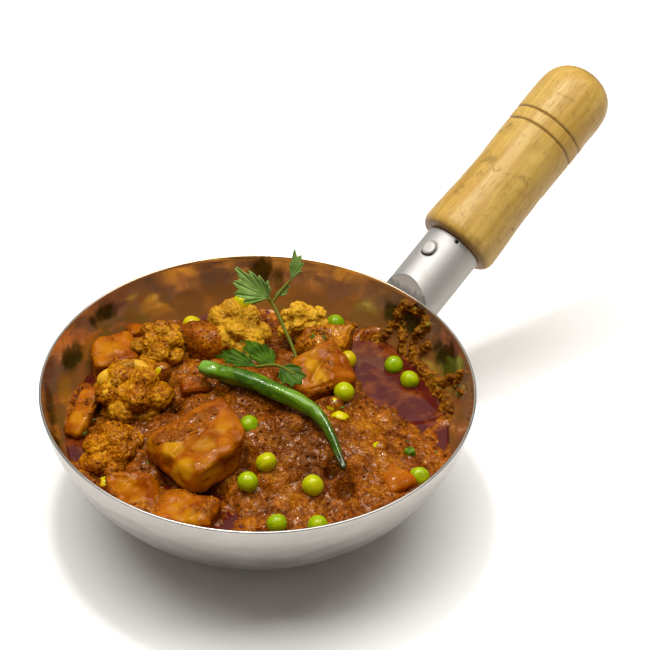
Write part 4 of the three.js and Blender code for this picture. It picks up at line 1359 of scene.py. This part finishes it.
# node: the knots and thickness of the cut stems that show on a floret
STEMS = {
    "cauliflower_left": (
        (((-67, 8, 49), (-63.5, 11, 52), (-58, 14.5, 53.4), (-52, 15.5, 54), (-46.5, 12.5, 53.4)), 3.0),
        (((-57.6, 7.5, 54), (-60.5, 5.5, 52), (-64.5, 0.5, 49)), 2.3),
    ),
}
REACHES = {"floret": floret_reach, "coated": coated_reach}


def laid(points, turn, lean, centre):
    """Points turned about Z, then leant about X, then moved to the centre."""
    x, y = turned(points[:, 0], points[:, 1], math.radians(turn))
    return coordinates(x, *turned(y, points[:, 2], math.radians(lean))) + np.array(centre)


def chunk(node, seed):
    """Points, faces, coating, crevices painted with shade and browning, and pale places, partly painted
    light, of one chunk.
    """
    shape, centre, half, turn, lean, fineness, coating, bare = CHUNKS[node]
    directions, faces = BALLS[fineness]
    directions = unit(directions + unit(np.array(TOWARDS_DINER)) * CROWDING)
    if shape == "potato":
        own = directions * potato_reach(directions, half, seed)[:, None]
    else:
        own = directions * REACHES[shape](directions, seed)[:, None] * np.array(half)
    points = laid(own, turn, lean, centre)
    facing = normals_of(points, faces)
    bare_side = facing @ unit(np.array(bare, float))
    wander = 0.26 * swells(points, 9, seed) + 0.18 * swells(points, 3.5, seed + 3)
    for *place, wide in DABS.get(node, ()):
        coating = coating + 0.8 * smoothstep(1.1, 0.5, distance_from(points, place) / wide)
    cover = smoothstep(0.28, 0.66, coating + wander - 0.25 * bare_side)
    paste, paste_hollow_shade = masala_grain(points, seed + 7)
    paste = 0.55 * paste + 0.75
    if shape == "floret":
        lift, crevice_shade_and_browning, pale = floret_skin(points, seed)
        lift = lift + cover * paste * 0.5
        pale = pale + PALER.get(node, 0.0)
    elif shape == "coated":
        lift, crevice_shade_and_browning, pale = paste, paste_hollow_shade, np.zeros(len(points))
    else:
        near = potato_faces(directions, half, seed)
        edge = 1 - smoothstep(0.55, 0.95, near.max(0) / near.sum(0))
        lift, crevice_shade_and_browning, pale = cut_skin(node, points, edge, seed)
        lift = lift + cover * np.maximum(0.7 * paste - 0.15, 0)
    # paler patches, partly painted light on faces in shade, with their painted shade taken back
    for *place, wide, share in LIT_AND_PALE_PATCHES.get(node, ()):
        apart = distance_from(points, place) / wide
        shown = smoothstep(1.2, 0.4, apart + 0.3 * swells(points, 3, seed + 41))
        pale = np.maximum(pale, share * shown)
        crevice_shade_and_browning = crevice_shade_and_browning * (1 - 0.5 * share * shown)
    points = points + facing * lift[:, None]
    # painted shade in the hollows of the masala that coats the chunk
    crevice_shade_and_browning = np.maximum(crevice_shade_and_browning * (1 - cover), 0.7 * cover * paste_hollow_shade)
    return points, faces, cover, crevice_shade_and_browning, pale


def cut_skin(node, points, edge, seed):
    """The relief of a cut and fried chunk, dented, nicked and grooved, and its brown and pale places."""
    dent = 0.85 * swells(points, 7, seed + 23) + 0.35 * swells(points, 3, seed + 27) - 0.2 * edge
    nick = smoothstep(0.5, 0.9, swells(points * (1, 1, 2.5), 5, seed + 31))
    groove = np.zeros(len(points))
    if node in GROOVES:
        knots, wide = GROOVES[node]
        strayed = points + 0.8 * swells(points, 4, 9)[:, None]
        groove = np.exp(-((line_distance(strayed, knots) / wide) ** 2))
    lift = dent - 0.5 * nick - 0.9 * groove
    worn = edge * (0.5 + 0.5 * swells(points, 4, seed + 39))
    crevice_shade_and_browning = np.maximum(np.maximum(0.5 * nick, 0.75 * groove), 0.75 * worn)
    return lift, crevice_shade_and_browning, 0.5 * smoothstep(0.35, 0.75, swells(points, 12, seed + 35))


def floret_skin(points, seed):
    """The relief of a head of cauliflower: clustered buds of grains, with deep gaps between them where
    shade is painted.
    """
    stray = drifts(points, 3.6, seed + 15) + 1.2 * drifts(points, 9, seed + 36)
    strewn = points + 1.1 * stray
    cluster = grains(strewn, 5.8, seed + 18)
    bud = grains(strewn, 2.7, seed + 22)
    grain = grains(points + 0.3 * stray, 1.25, seed + 26)
    lift = 0.9 * cluster + 0.9 * bud + 0.6 * grain - 1.4 + 0.8 * swells(points, 8, seed + 30)
    gap_shade = 1 - smoothstep(0.16, 0.46, 0.42 * cluster + 0.34 * bud + 0.24 * grain)
    crest = smoothstep(0.45, 0.85, 0.6 * cluster + 0.4 * bud)
    return lift, gap_shade, 0.35 * crest * (0.5 + 0.5 * swells(points, 10, seed + 34))


def cut_stem(knots, thickness, seed):
    """A smooth cut stem: points, faces, how much of it is coated, the shade painted on its underside, and
    how pale it is.
    """
    centres, ways = evenly(smooth_curve(knots, 20), STEM_STEPS)
    share = np.linspace(0, 1, STEM_STEPS)
    radii = thickness * np.sqrt(np.clip(1 - (2 * share - 1) ** 6, 0.02, 1))
    radii = radii * (1 + 0.12 * np.sin(5 * share + seed))
    points, sides, caps = closed_tube(tube_rows(centres, ways, radii, STEM_SEGMENTS))
    faces = np.concatenate([triangles(sides), caps])
    facing = normals_of(points, faces)
    points = points + facing * (0.45 * swells(points, 5, seed) + 0.2 * swells(points, 2, seed + 1))[:, None]
    cover = smoothstep(0.2, 0.6, swells(points, 5, seed + 2))
    # painted shade on the side that faces down
    crevice_shade_and_browning = 0.8 * smoothstep(0.35, -0.4, facing[:, 2] + 0.4 * swells(points, 4, seed + 3))
    pale = 0.75 + 0.25 * swells(points, 5, seed + 4)
    return points, faces, cover, crevice_shade_and_browning, pale


def build_chunks():
    """Every chunk as a piece of its own; gives back the coated places, where crumbs can lie."""
    coated = []
    for index, node in enumerate(CHUNKS):
        parts = [chunk(node, index + 1)]
        parts += [cut_stem(knots, wide, index + 50) for knots, wide in STEMS.get(node, ())]
        points, faces = joined([part[0] for part in parts], [part[1] for part in parts])
        cover, crevice_shade_and_browning, pale = (np.concatenate([part[i] for part in parts]) for i in (2, 3, 4))
        points = keep_inside(points)
        mesh = mesh_of(f"{node}_cooked", as_served(points), faces)
        add_values(mesh, "coating", cover)
        add_values(mesh, "crevice_shade_and_browning", crevice_shade_and_browning)
        add_values(mesh, "pale", np.clip(pale, 0, 1))
        finish, slot = FINISHES[node.split("_")[0]]
        place_piece(mesh, [finish], [node])
        facing = normals_of(points, faces)
        coated.append(points[(cover > 0.6) & (facing[:, 2] > 0.1)])
    return np.concatenate(coated)


# ---- Loose crumbs of masala ----
def build_crumbs(name, bed, count, sizes, seed):
    """Single grains, each an uneven little lump half sunk in the bed it lies on."""
    random = np.random.default_rng(seed)
    directions, faces = BALLS[2]
    corners = len(directions)
    spots = bed[random.integers(0, len(bed), count)]
    size = random.uniform(*sizes, (count, 1)) * random.uniform(0.65, 1.25, (count, 3))
    turn = random.uniform(0, 2 * math.pi, count)
    uneven = 1 + 0.22 * random.standard_normal((count, corners))
    body = directions[None] * uneven[..., None] * size[:, None]
    body = coordinates(*turned(body[..., 0], body[..., 1], turn[:, None]), body[..., 2])
    points = (spots[:, None] + body).reshape(-1, 3)
    faces = (faces[None] + corners * np.arange(count)[:, None, None]).reshape(-1, 3)
    mesh = mesh_of(name, as_served(keep_inside(points)), faces)
    add_values(mesh, "crevice_shade_and_browning", np.repeat(random.uniform(0, 0.6, count) ** 2, corners))
    place_piece(mesh, [MASALA], [])


# ---- Peas ----
def build_peas():
    """Every pea with its seam, its dimple and its wrinkles, sunk in masala at its foot."""
    directions, faces = BALLS[4]
    sets, ripe, smeared = [], [], []
    for number, (node, ripeness) in enumerate(zip(PEAS, RIPENESS), 1):
        radius = PEA_RADIUS * (1 + 0.03 * math.sin(5 * number))
        axis = unit(np.array([math.sin(3.1 * number), math.cos(2.3 * number), 0.6]))
        along = directions @ axis
        seam = 0.02 * np.exp(-((along / 0.16) ** 2))
        wrinkle = 0.018 * swells(directions, 0.5, number) + 0.06 * swells(directions, 1.2, number + 30)
        dimple = 0.05 * np.exp(-((1 - along) / 0.06))
        reach = radius * (1 - seam + wrinkle - dimple)
        points = directions * reach[:, None]
        points -= axis * (along * (0.06 + 0.05 * math.sin(2.7 * number)) * radius)[:, None]
        foot = 0.5 - 0.55 * points[:, 2] / radius + 0.35 * swells(points, 2.5, number + 70)
        points += middle_of(node)
        cover = SMEARED.get(number, 0.0)
        uneven = cover + 0.35 * swells(points, 3, number + 60) - 0.25
        foot = smoothstep(0.75, 0.95, foot)
        smeared.append(np.maximum(smoothstep(0.2, 0.5, uneven), foot) if cover else foot)
        sets.append(points)
        ripe.append(np.full(len(points), ripeness))
    points, every = joined(sets, [faces] * len(sets))
    mesh = mesh_of("peas", points, every)
    add_values(mesh, "ripeness", np.concatenate(ripe))
    add_values(mesh, "coating", np.concatenate(smeared))
    place_piece(mesh, [PEA_SKIN], PEAS)


# ---- The whole green chilli ----
CHILLI_KNOTS = (
    (-25.1, 13, 57), (-6.3, 4.4, 58.6), (14, -5.9, 57.4),
    (24.5, -12.5, 55.4), (31, -24, 52.6), (36.3, -39, 48.6),
)


def build_chilli():
    """The chilli, from its cut neck to its shrivelled tip."""
    centres, ways = evenly(smooth_curve(CHILLI_KNOTS, 40), CHILLI_STEPS)
    share = np.linspace(0, 1, CHILLI_STEPS)
    shoulder = np.sqrt(np.minimum(1, share / 0.06))
    radii = CHILLI_RADIUS * (0.62 + 0.38 * shoulder) * (1 - 0.62 * smoothstep(0.42, 0.95, share))
    radii = radii * np.sqrt(np.clip(1 - np.clip((share - 0.975) / 0.025, 0, 1) ** 2, 0.01, 1))
    radii = radii * np.sqrt(np.clip(1 - np.clip((0.012 - share) / 0.012, 0, 1) ** 2, 0.05, 1))
    radii = radii * (1 - 0.13 * np.exp(-(((share - 0.1) / 0.02) ** 2)))

    def skin(turn, along):
        fold = 0.05 * np.sin(3 * turn + 4 * along) + 0.03 * np.sin(5 * turn - 9 * along + 1)
        dent = 0.05 * np.sin(23 * along + 2 * np.sin(turn)) + 0.02 * np.sin(61 * along + turn)
        shrivel = smoothstep(0.8, 1.0, along) * 0.14 * np.sin(4 * turn + 30 * along)
        return 1 + fold + dent + shrivel

    points, sides, caps = closed_tube(tube_rows(centres, ways, radii, CHILLI_SEGMENTS, skin))
    mesh = mesh_of("chilli", as_served(points), sides, caps)
    add_values(mesh, "along", np.concatenate([np.repeat(share, CHILLI_SEGMENTS), [0, 1]]))
    place_piece(mesh, [CHILLI_SKIN], ["green_chilli"])


# ---- Coriander ----
def leaf_points(base, tip, facing, tips, cup, soft, seed):
    """One leaflet fanning from its base: tips gives each lobe's turn from the leaf's axis in degrees
    and its length, from one side to the other, and fine teeth run between the lobes. A larger soft
    rounds the lobes off."""
    base, tip, facing = (np.array(v, float) for v in (base, tip, facing))
    along = unit(tip - base)
    normal = unit(facing - along * (facing @ along))
    across = np.cross(along, normal)
    turns, lengths = np.radians([one[0] for one in tips]), np.array([one[1] for one in tips], float)
    turn = np.linspace(turns[0], turns[-1], LEAF_SPOKES)
    middle = (turns[:-1] + turns[1:]) / 2
    notch = 0.87 * np.minimum(lengths[:-1], lengths[1:])
    places = np.sort(np.concatenate([turns, middle]))
    outline = np.interp(places, turns, lengths)
    outline[1::2] = notch
    reach = np.interp(turn, places, outline)
    reach = np.convolve(np.pad(reach, soft, "edge"), np.ones(2 * soft + 1) / (2 * soft + 1), "valid")
    tooth = np.abs((np.cumsum(reach) / reach.mean() * 0.115) % 1 - 0.5) * 2
    reach = reach * (1 - 0.06 * tooth)
    lobe = np.abs(turn[:, None] - turns[None]).min(1) * reach
    share = np.linspace(0.03, 1, LEAF_RINGS)[:, None]
    sideways, forward = np.sin(turn) * reach * share, np.cos(turn) * reach * share
    longest = lengths.max()
    lift = cup * longest * share**2 * (0.5 * np.abs(np.sin(turn)) - 0.12)
    flat = coordinates(sideways, forward, 0)
    lift = lift + 0.05 * longest * swells(flat, 0.30 * longest, seed) * share
    lift = lift - 0.03 * longest * np.exp(-((lobe / 0.5) ** 2)) * share
    vein = np.exp(-((lobe / 0.16) ** 2)) * np.ones_like(forward)
    points = base + across * sideways[..., None] + along * forward[..., None] + normal * lift[..., None]
    return points.reshape(-1, 3), grid_faces(LEAF_RINGS, LEAF_SPOKES), vein.ravel()


def stalk_points(knots, radius):
    centres, ways = evenly(smooth_curve(knots, 12), 12 * len(knots))
    rows = tube_rows(centres, ways, np.full(len(centres), radius), STALK_SEGMENTS)
    points, sides, caps = closed_tube(rows)
    return points, np.concatenate([triangles(sides), caps])


def thick_sheet(points, faces, thickness):
    """A sheet given a thickness: its two faces and a strip round its edge."""
    facing = normals_of(points, triangles(faces))
    count = len(points)
    both = np.concatenate([points + facing * thickness / 2, points - facing * thickness / 2])
    edges = np.concatenate([faces[:, [side, (side + 1) % 4]] for side in range(4)])
    keys = {(a, b) for a, b in edges.tolist()}
    rim = [(b, a, a + count, b + count) for a, b in keys if (b, a) not in keys]
    return both, np.concatenate([faces, faces[:, ::-1] + count, np.array(sorted(rim))])


def build_sprig(name, node, leaf, leaves, stalks, soft):
    """A sprig of leaflets and stalks, which carry where their veins and stalks lie."""
    sets, face_sets, veins, woody = [], [], [], []
    for number, (base, tip, facing, tips, cup) in enumerate(leaves):
        points, faces, vein = leaf_points(base, tip, facing, tips, cup, soft, number + 3)
        points, faces = thick_sheet(points, faces, LEAF_THICKNESS)
        sets.append(points)
        face_sets.append(triangles(faces))
        veins.append(np.tile(vein, 2))
        woody.append(np.zeros(len(points)))
    for knots, radius in stalks:
        points, faces = stalk_points(knots, radius)
        sets.append(points)
        face_sets.append(faces)
        veins.append(np.ones(len(points)))
        woody.append(np.ones(len(points)))
    points, faces = joined(sets, face_sets)
    mesh = mesh_of(name, as_served(points), faces)
    add_values(mesh, "vein", np.concatenate(veins))
    add_values(mesh, "stalk", np.concatenate(woody))
    place_piece(mesh, [leaf], [node])


STALK = ((16.8, 16.7, 50), (14.2, 26, 55.5), (9, 36.5, 61.5), (3.6, 46, 67))
LEFT_BASE = (1.8, 46.8, 69)
RIGHT_BASE = (11.4, 53, 74.5)


def build_coriander():
    """Both sprigs. Each leaflet is given by its base, its tip, the way it faces, the turns and lengths
    of its lobes and how cupped it is, and each stalk by its knots and radius."""
    to_diner = (0, -0.8, 0.6)
    build_sprig(
        "coriander_standing_sprig",
        "coriander_standing",
        LEAF_GREY,
        [
            (
                LEFT_BASE, (-15.8, 51.5, 79.5), to_diner,
                (
                    (-58, 8), (-44, 11.5), (-28, 15.5), (-10, 17), (9, 20.5),
                    (22, 15), (34, 11), (52, 7.5), (66, 5),
                ),
                0.25,
            ),
            (LEFT_BASE, (1.5, 51, 76.5), to_diner, ((-20, 4), (0, 8), (22, 4.5)), 0.2),
            (
                RIGHT_BASE, (14.4, 57, 88.5), (-0.3, -0.8, 0.5),
                ((-22, 8), (-8, 14.6), (8, 12.6), (22, 10.5), (36, 7)),
                0.3,
            ),
            (
                (4.5, 48.2, 69.5), (11.4, 53, 74.8), (0.3, -0.9, 0.3),
                ((0, 8), (16, 8.5), (34, 6.5), (52, 4.5)), 0.3,
            ),
        ],
        [((*STALK, LEFT_BASE), 0.75), ((STALK[-1], (7, 49.5, 70.5), RIGHT_BASE), 0.6)],
        soft=2,
    )
    upwards = (0, -0.35, 0.94)
    build_sprig(
        "coriander_lying_sprig",
        "coriander_lying",
        LEAF_GREEN,
        [
            (
                (-1, 6.6, 63.4), (-21, 18.5, 62.5), upwards,
                ((-24, 11), (-14, 16), (-5, 22), (5, 20), (14, 17), (26, 11)), 0.2,
            ),
            (
                (6, 7.6, 63.6), (-11, 28, 62.5), upwards,
                ((-30, 8), (-18, 15), (-7, 21), (4, 25), (12, 20), (22, 16), (34, 11), (46, 7)), 0.2,
            ),
            (
                (8.5, 7.2, 63.5), (19.5, -1, 61.5), upwards,
                ((-52, 6), (-34, 10), (-14, 13), (6, 13.5), (24, 12.5), (42, 10), (58, 7)), 0.25,
            ),
        ],
        [(((-1.5, 6.5, 63.4), (7, 7.6, 63.6), (15, 3.6, 62.5)), 0.7)],
        soft=5,
    )


# ---- Torn bits of herb strewn over the food ----
# x, y, z, how long and which way it points, in degrees
HERB_BITS = (
    (-70, -19.5, 46.5, 2.6, 50), (-66.5, -15.5, 50.5, 1.8, 20), (-43, -34.5, 45, 1.7, 100),
    (21.5, 36.5, 57, 3.4, 70), (26.5, 38, 55.5, 2.8, 110), (35, -3, 51, 2.2, 30),
    (74, -18.3, 41.5, 1.6, 80), (62, -14.5, 44, 1.6, 0), (8.5, -60, 43.5, 1.2, 60),
    (65, 60, 56.5, 2.4, 140), (84, 17.5, 49, 2.6, 95), (83.5, 12, 47.5, 2.2, 75),
    (-9, 33, 55.5, 1.5, 20), (44, -30, 44.5, 1.3, 130), (31, -52, 44.5, 1.2, 10),
)


def build_herb_bits():
    directions, faces = BALLS[3]
    sets = []
    for number, (x, y, z, length, turn) in enumerate(HERB_BITS):
        body = directions * np.array([1, 0.42, 0.22]) * length / 2
        body = body * (1 + 0.3 * swells(directions, 0.7, number + 90)[:, None])
        body[:, 2] += 0.12 * body[:, 0] ** 2
        sets.append(laid(body, turn, 14, (x, y, z)))
    points, every = joined(sets, [faces] * len(sets))
    mesh = mesh_of("herb_bits", as_served(keep_inside(points)), every)
    add_values(mesh, "vein", np.zeros(len(points)))
    place_piece(mesh, [LEAF_GREEN], [])


# ---- Masala smeared on the wall ----
SUNK_DEPTH = -0.45  # how far the sheet lies behind the wall between the smears
SHOWN_DEPTH = -0.3  # what lies deeper than this is cut away
SMEAR_TURNS = (-70, 150, 760)  # from, to and steps, in degrees round the wall
SMEAR_HEIGHTS = (33, 60, 70)
# the knots of each smear, as turns in degrees from the diner's right and heights, then its half width
# and thickness
SMEARS = (
    (((57.2, 32), (54.8, 34), (51.2, 36), (48.9, 42), (46.4, 49), (45.4, 55), (44.8, 57.5)), 3.2, 1.5),
    (((45.4, 55), (42.4, 56.2), (39.7, 58)), 3.0, 1.3),
    (
        ((39.7, 58), (36.6, 57), (35.2, 54), (37.6, 48), (38.3, 43), (37.7, 38.6), (34, 37), (30, 37)),
        2.8, 1.4,
    ),
    (((32.3, 46.8), (33.4, 43.2)), 2.4, 1.5),
    (((46.4, 49), (44, 46), (42, 42), (41, 38)), 2.8, 1.1),
    (((27.8, 37), (21.8, 37.6), (18.5, 41.4), (15.8, 46.5)), 2.8, 1.7),
    (((12.5, 53), (11.7, 47), (7.9, 49)), 1.9, 1.1),
    (((24, 37.5), (13.5, 37.6), (6.9, 38.6)), 3.6, 1.8),
    (((62, 36), (57.2, 36), (52, 36)), 3.0, 1.3),
    (((77, 38.5), (81, 38)), 2.6, 1.2),
    (((-30, 40), (-34, 39.5)), 3.2, 1.2),
    (((-42, 39.5), (-45, 39)), 3.2, 1.1),
)


def build_smears():
    """Ragged smears of masala dried onto the wall, cut from a sheet that follows it."""
    turn = np.radians(np.linspace(*SMEAR_TURNS))[None, :]
    height = np.linspace(*SMEAR_HEIGHTS)[:, None]
    radius = wall_radius(height, WALL)
    wall = coordinates(radius * np.cos(turn), radius * np.sin(turn), height)
    unrolled = coordinates(np.degrees(turn) * SMEAR_SCALE, height)
    thick = np.full(wall.shape[:2], -2.6)
    for knots, wide, depth in SMEARS:
        apart = line_distance(unrolled, [(angle * SMEAR_SCALE, level) for angle, level in knots]) / wide
        thick = np.maximum(thick, depth * (1 - apart**2))
    thick = thick + (1.5 * swells(wall, 3.4, 71) + 1.0 * swells(wall, 1.3, 72))
    relief = 0.9 * grains(wall, 2.6, 73) + 0.6 * grains(wall, 1.3, 74)
    depth = np.maximum(np.where(thick > 0, np.minimum(thick, 1.6), 0.4 * thick), SUNK_DEPTH)
    depth = depth + relief * np.clip(thick, 0, 1)
    inward = -unit(np.stack([
        wall[..., 0] / (WALL_ACROSS - WALL) ** 2,
        wall[..., 1] / (WALL_ACROSS - WALL) ** 2,
        (wall[..., 2] - WALL_CENTRE) / (WALL_DOWN - WALL) ** 2,
    ], -1))
    points = wall + inward * depth[..., None]
    faces = grid_faces(*wall.shape[:2])
    shown = (depth.ravel()[faces] > SHOWN_DEPTH).any(axis=1)
    used, renumbered = np.unique(faces[shown], return_inverse=True)
    kept = renumbered.reshape(-1, 4)
    points = points.reshape(-1, 3)[used]
    mesh = mesh_of("smears", as_served(points), kept[:, ::-1])
    # painted shade where the smear's relief lies low
    add_values(mesh, "crevice_shade_and_browning", 0.3 * (1 - smoothstep(0, 0.8, relief.ravel()[used])))
    place_piece(mesh, [DRIED_MASALA], [])


# ---- Light, floor and camera ----
FLOOR_SIDE = 8.0  # metres
DAYLIGHT = (1.0, 0.91, 0.80, 1)
DAYLIGHT_STRENGTH = 0.15
DISH_MIDDLE = (0, 0, 40)
# name, place as the diner sees it, size in metres and power in watts of each lamp over the dish
LAMPS = (
    ("overhead_softbox", (-20, 90, 1300), (1.8, 0.95), 29.0),
    ("overhead_lamp", (-160, 240, 1250), (0.12, 0.10), 5.0),
    ("back_softbox", (-200, 1100, 900), (0.9, 0.5), 1.5),
)
CAMERA_AT = (26.6, -619.2, 568.1)
CAMERA_DOWNWARD = math.radians(37.59)
CAMERA_ROLL = math.radians(1.95)
CAMERA_LENS = 107.5
CAMERA_SENSOR = 36


def build_lamp(name, place, size, power):
    light = bpy.data.lights.new(name, "AREA")
    light.shape = "RECTANGLE"
    light.size, light.size_y = size
    light.energy = power
    lamp = bpy.data.objects.new(name, light)
    where = as_served(np.array(place, float)) * MM
    aim = as_served(np.array(DISH_MIDDLE, float)) * MM
    lamp.location = where
    lamp.rotation_euler = (Vector(aim) - Vector(where)).to_track_quat("-Z", "Y").to_euler()
    bpy.context.scene.collection.objects.link(lamp)


def build_set():
    mesh = bpy.data.meshes.new("floor")
    half = FLOOR_SIDE / 2
    corners = [(-half, -half, 0), (half, -half, 0), (half, half, 0), (-half, half, 0)]
    mesh.from_pydata(corners, [], [(0, 1, 2, 3)])
    floor = bpy.data.objects.new("floor", mesh)
    mesh.materials.append(FLOOR)
    bpy.context.scene.collection.objects.link(floor)

    world = bpy.data.worlds.new("studio")
    bpy.context.scene.world = world
    world.use_nodes = True
    background = world.node_tree.nodes["Background"]
    background.inputs["Color"].default_value = DAYLIGHT
    background.inputs["Strength"].default_value = DAYLIGHT_STRENGTH
    for lamp in LAMPS:
        build_lamp(*lamp)


def build_camera():
    camera = bpy.data.objects.new("camera", bpy.data.cameras.new("camera"))
    forward = np.array([0, math.cos(CAMERA_DOWNWARD), -math.sin(CAMERA_DOWNWARD)])
    level = np.array([1.0, 0, 0])
    above = np.cross(level, forward)
    right = level * math.cos(CAMERA_ROLL) + above * math.sin(CAMERA_ROLL)
    top = np.cross(right, forward)
    axes = [as_served(axis) for axis in (right, top, -forward)]
    matrix = Matrix([[axis[row] for axis in axes] for row in range(3)]).to_4x4()
    matrix.translation = Vector(as_served(np.array(CAMERA_AT)) * MM)
    camera.matrix_world = matrix
    camera.data.lens = CAMERA_LENS
    camera.data.sensor_width = CAMERA_SENSOR
    bpy.context.scene.collection.objects.link(camera)
    bpy.context.scene.camera = camera
    bpy.context.scene.view_settings.view_transform = "Standard"


# ---- The finishes of every piece ----
STEEL_OUTSIDE = steel_outside()
STEEL_INSIDE = steel_inside()
SOCKET_STEEL = steel_tube()
GRIP_WOOD = grip_wood()
MASALA = masala_finish()
DRIED_MASALA = dried_masala_finish()
RED_OIL = oil_finish()
PEA_SKIN = pea_finish()
CHILLI_SKIN = chilli_finish()
LEAF_GREY = leaf_finish("coriander_upright_leaf", (0.125, 0.215, 0.035), (0.205, 0.31, 0.075))
LEAF_GREEN = leaf_finish("coriander_flat_leaf", (0.022, 0.050, 0.0005), (0.050, 0.105, 0.004))
POTATO = coated_finish(
    "potato",
    ((0.15, 0.023, 0.0002), (0.25, 0.055, 0.0002), (0.34, 0.098, 0.0003), (0.41, 0.180, 0.003)),
    patch_size=11, buds=0.0, glow=0.15,
)
CAULIFLOWER = coated_finish(
    "cauliflower",
    ((0.185, 0.045, 0.0004), (0.30, 0.094, 0.0006), (0.46, 0.185, 0.002), (0.64, 0.36, 0.022)),
    patch_size=8, buds=1.0, glow=0.08,
)
TOMATO = coated_finish(
    "tomato",
    ((0.13, 0.017, 0.001), (0.20, 0.032, 0.001), (0.26, 0.06, 0.002), (0.30, 0.08, 0.004)),
    patch_size=5, buds=0.0, glow=0.1,
)
SLICE = coated_finish(
    "chilli_cut",
    ((0.02, 0.07, 0.001), (0.045, 0.12, 0.003), (0.09, 0.19, 0.006), (0.14, 0.24, 0.02)),
    patch_size=3, buds=0.0, glow=0.05,
)
FLOOR = floor_finish()

# the first word of a chunk's node: its finish and its slot
FINISHES = {
    "potato": (POTATO, "potato"),
    "cauliflower": (CAULIFLOWER, "cauliflower"),
    "coated": (POTATO, "masala"),
    "tomato": (TOMATO, "tomato"),
    "chilli": (SLICE, "chilli"),
}


# ---- The whole ----
def build_pan():
    build_bowl()
    build_socket()
    build_grip()
    build_rivet()


def build_food():
    above_oil = build_gravy()
    build_oil()
    build_bubbles()
    coated_places = build_chunks()
    build_crumbs("gravy_crumbs", above_oil, GRAVY_CRUMBS, (0.3, 0.75), 5)
    build_crumbs("clinging_crumbs", coated_places, CLINGING_CRUMBS, (0.25, 0.6), 6)
    build_peas()
    build_chilli()
    build_coriander()
    build_herb_bits()
    build_smears()


build_set()
build_camera()
build_pan()
build_food()
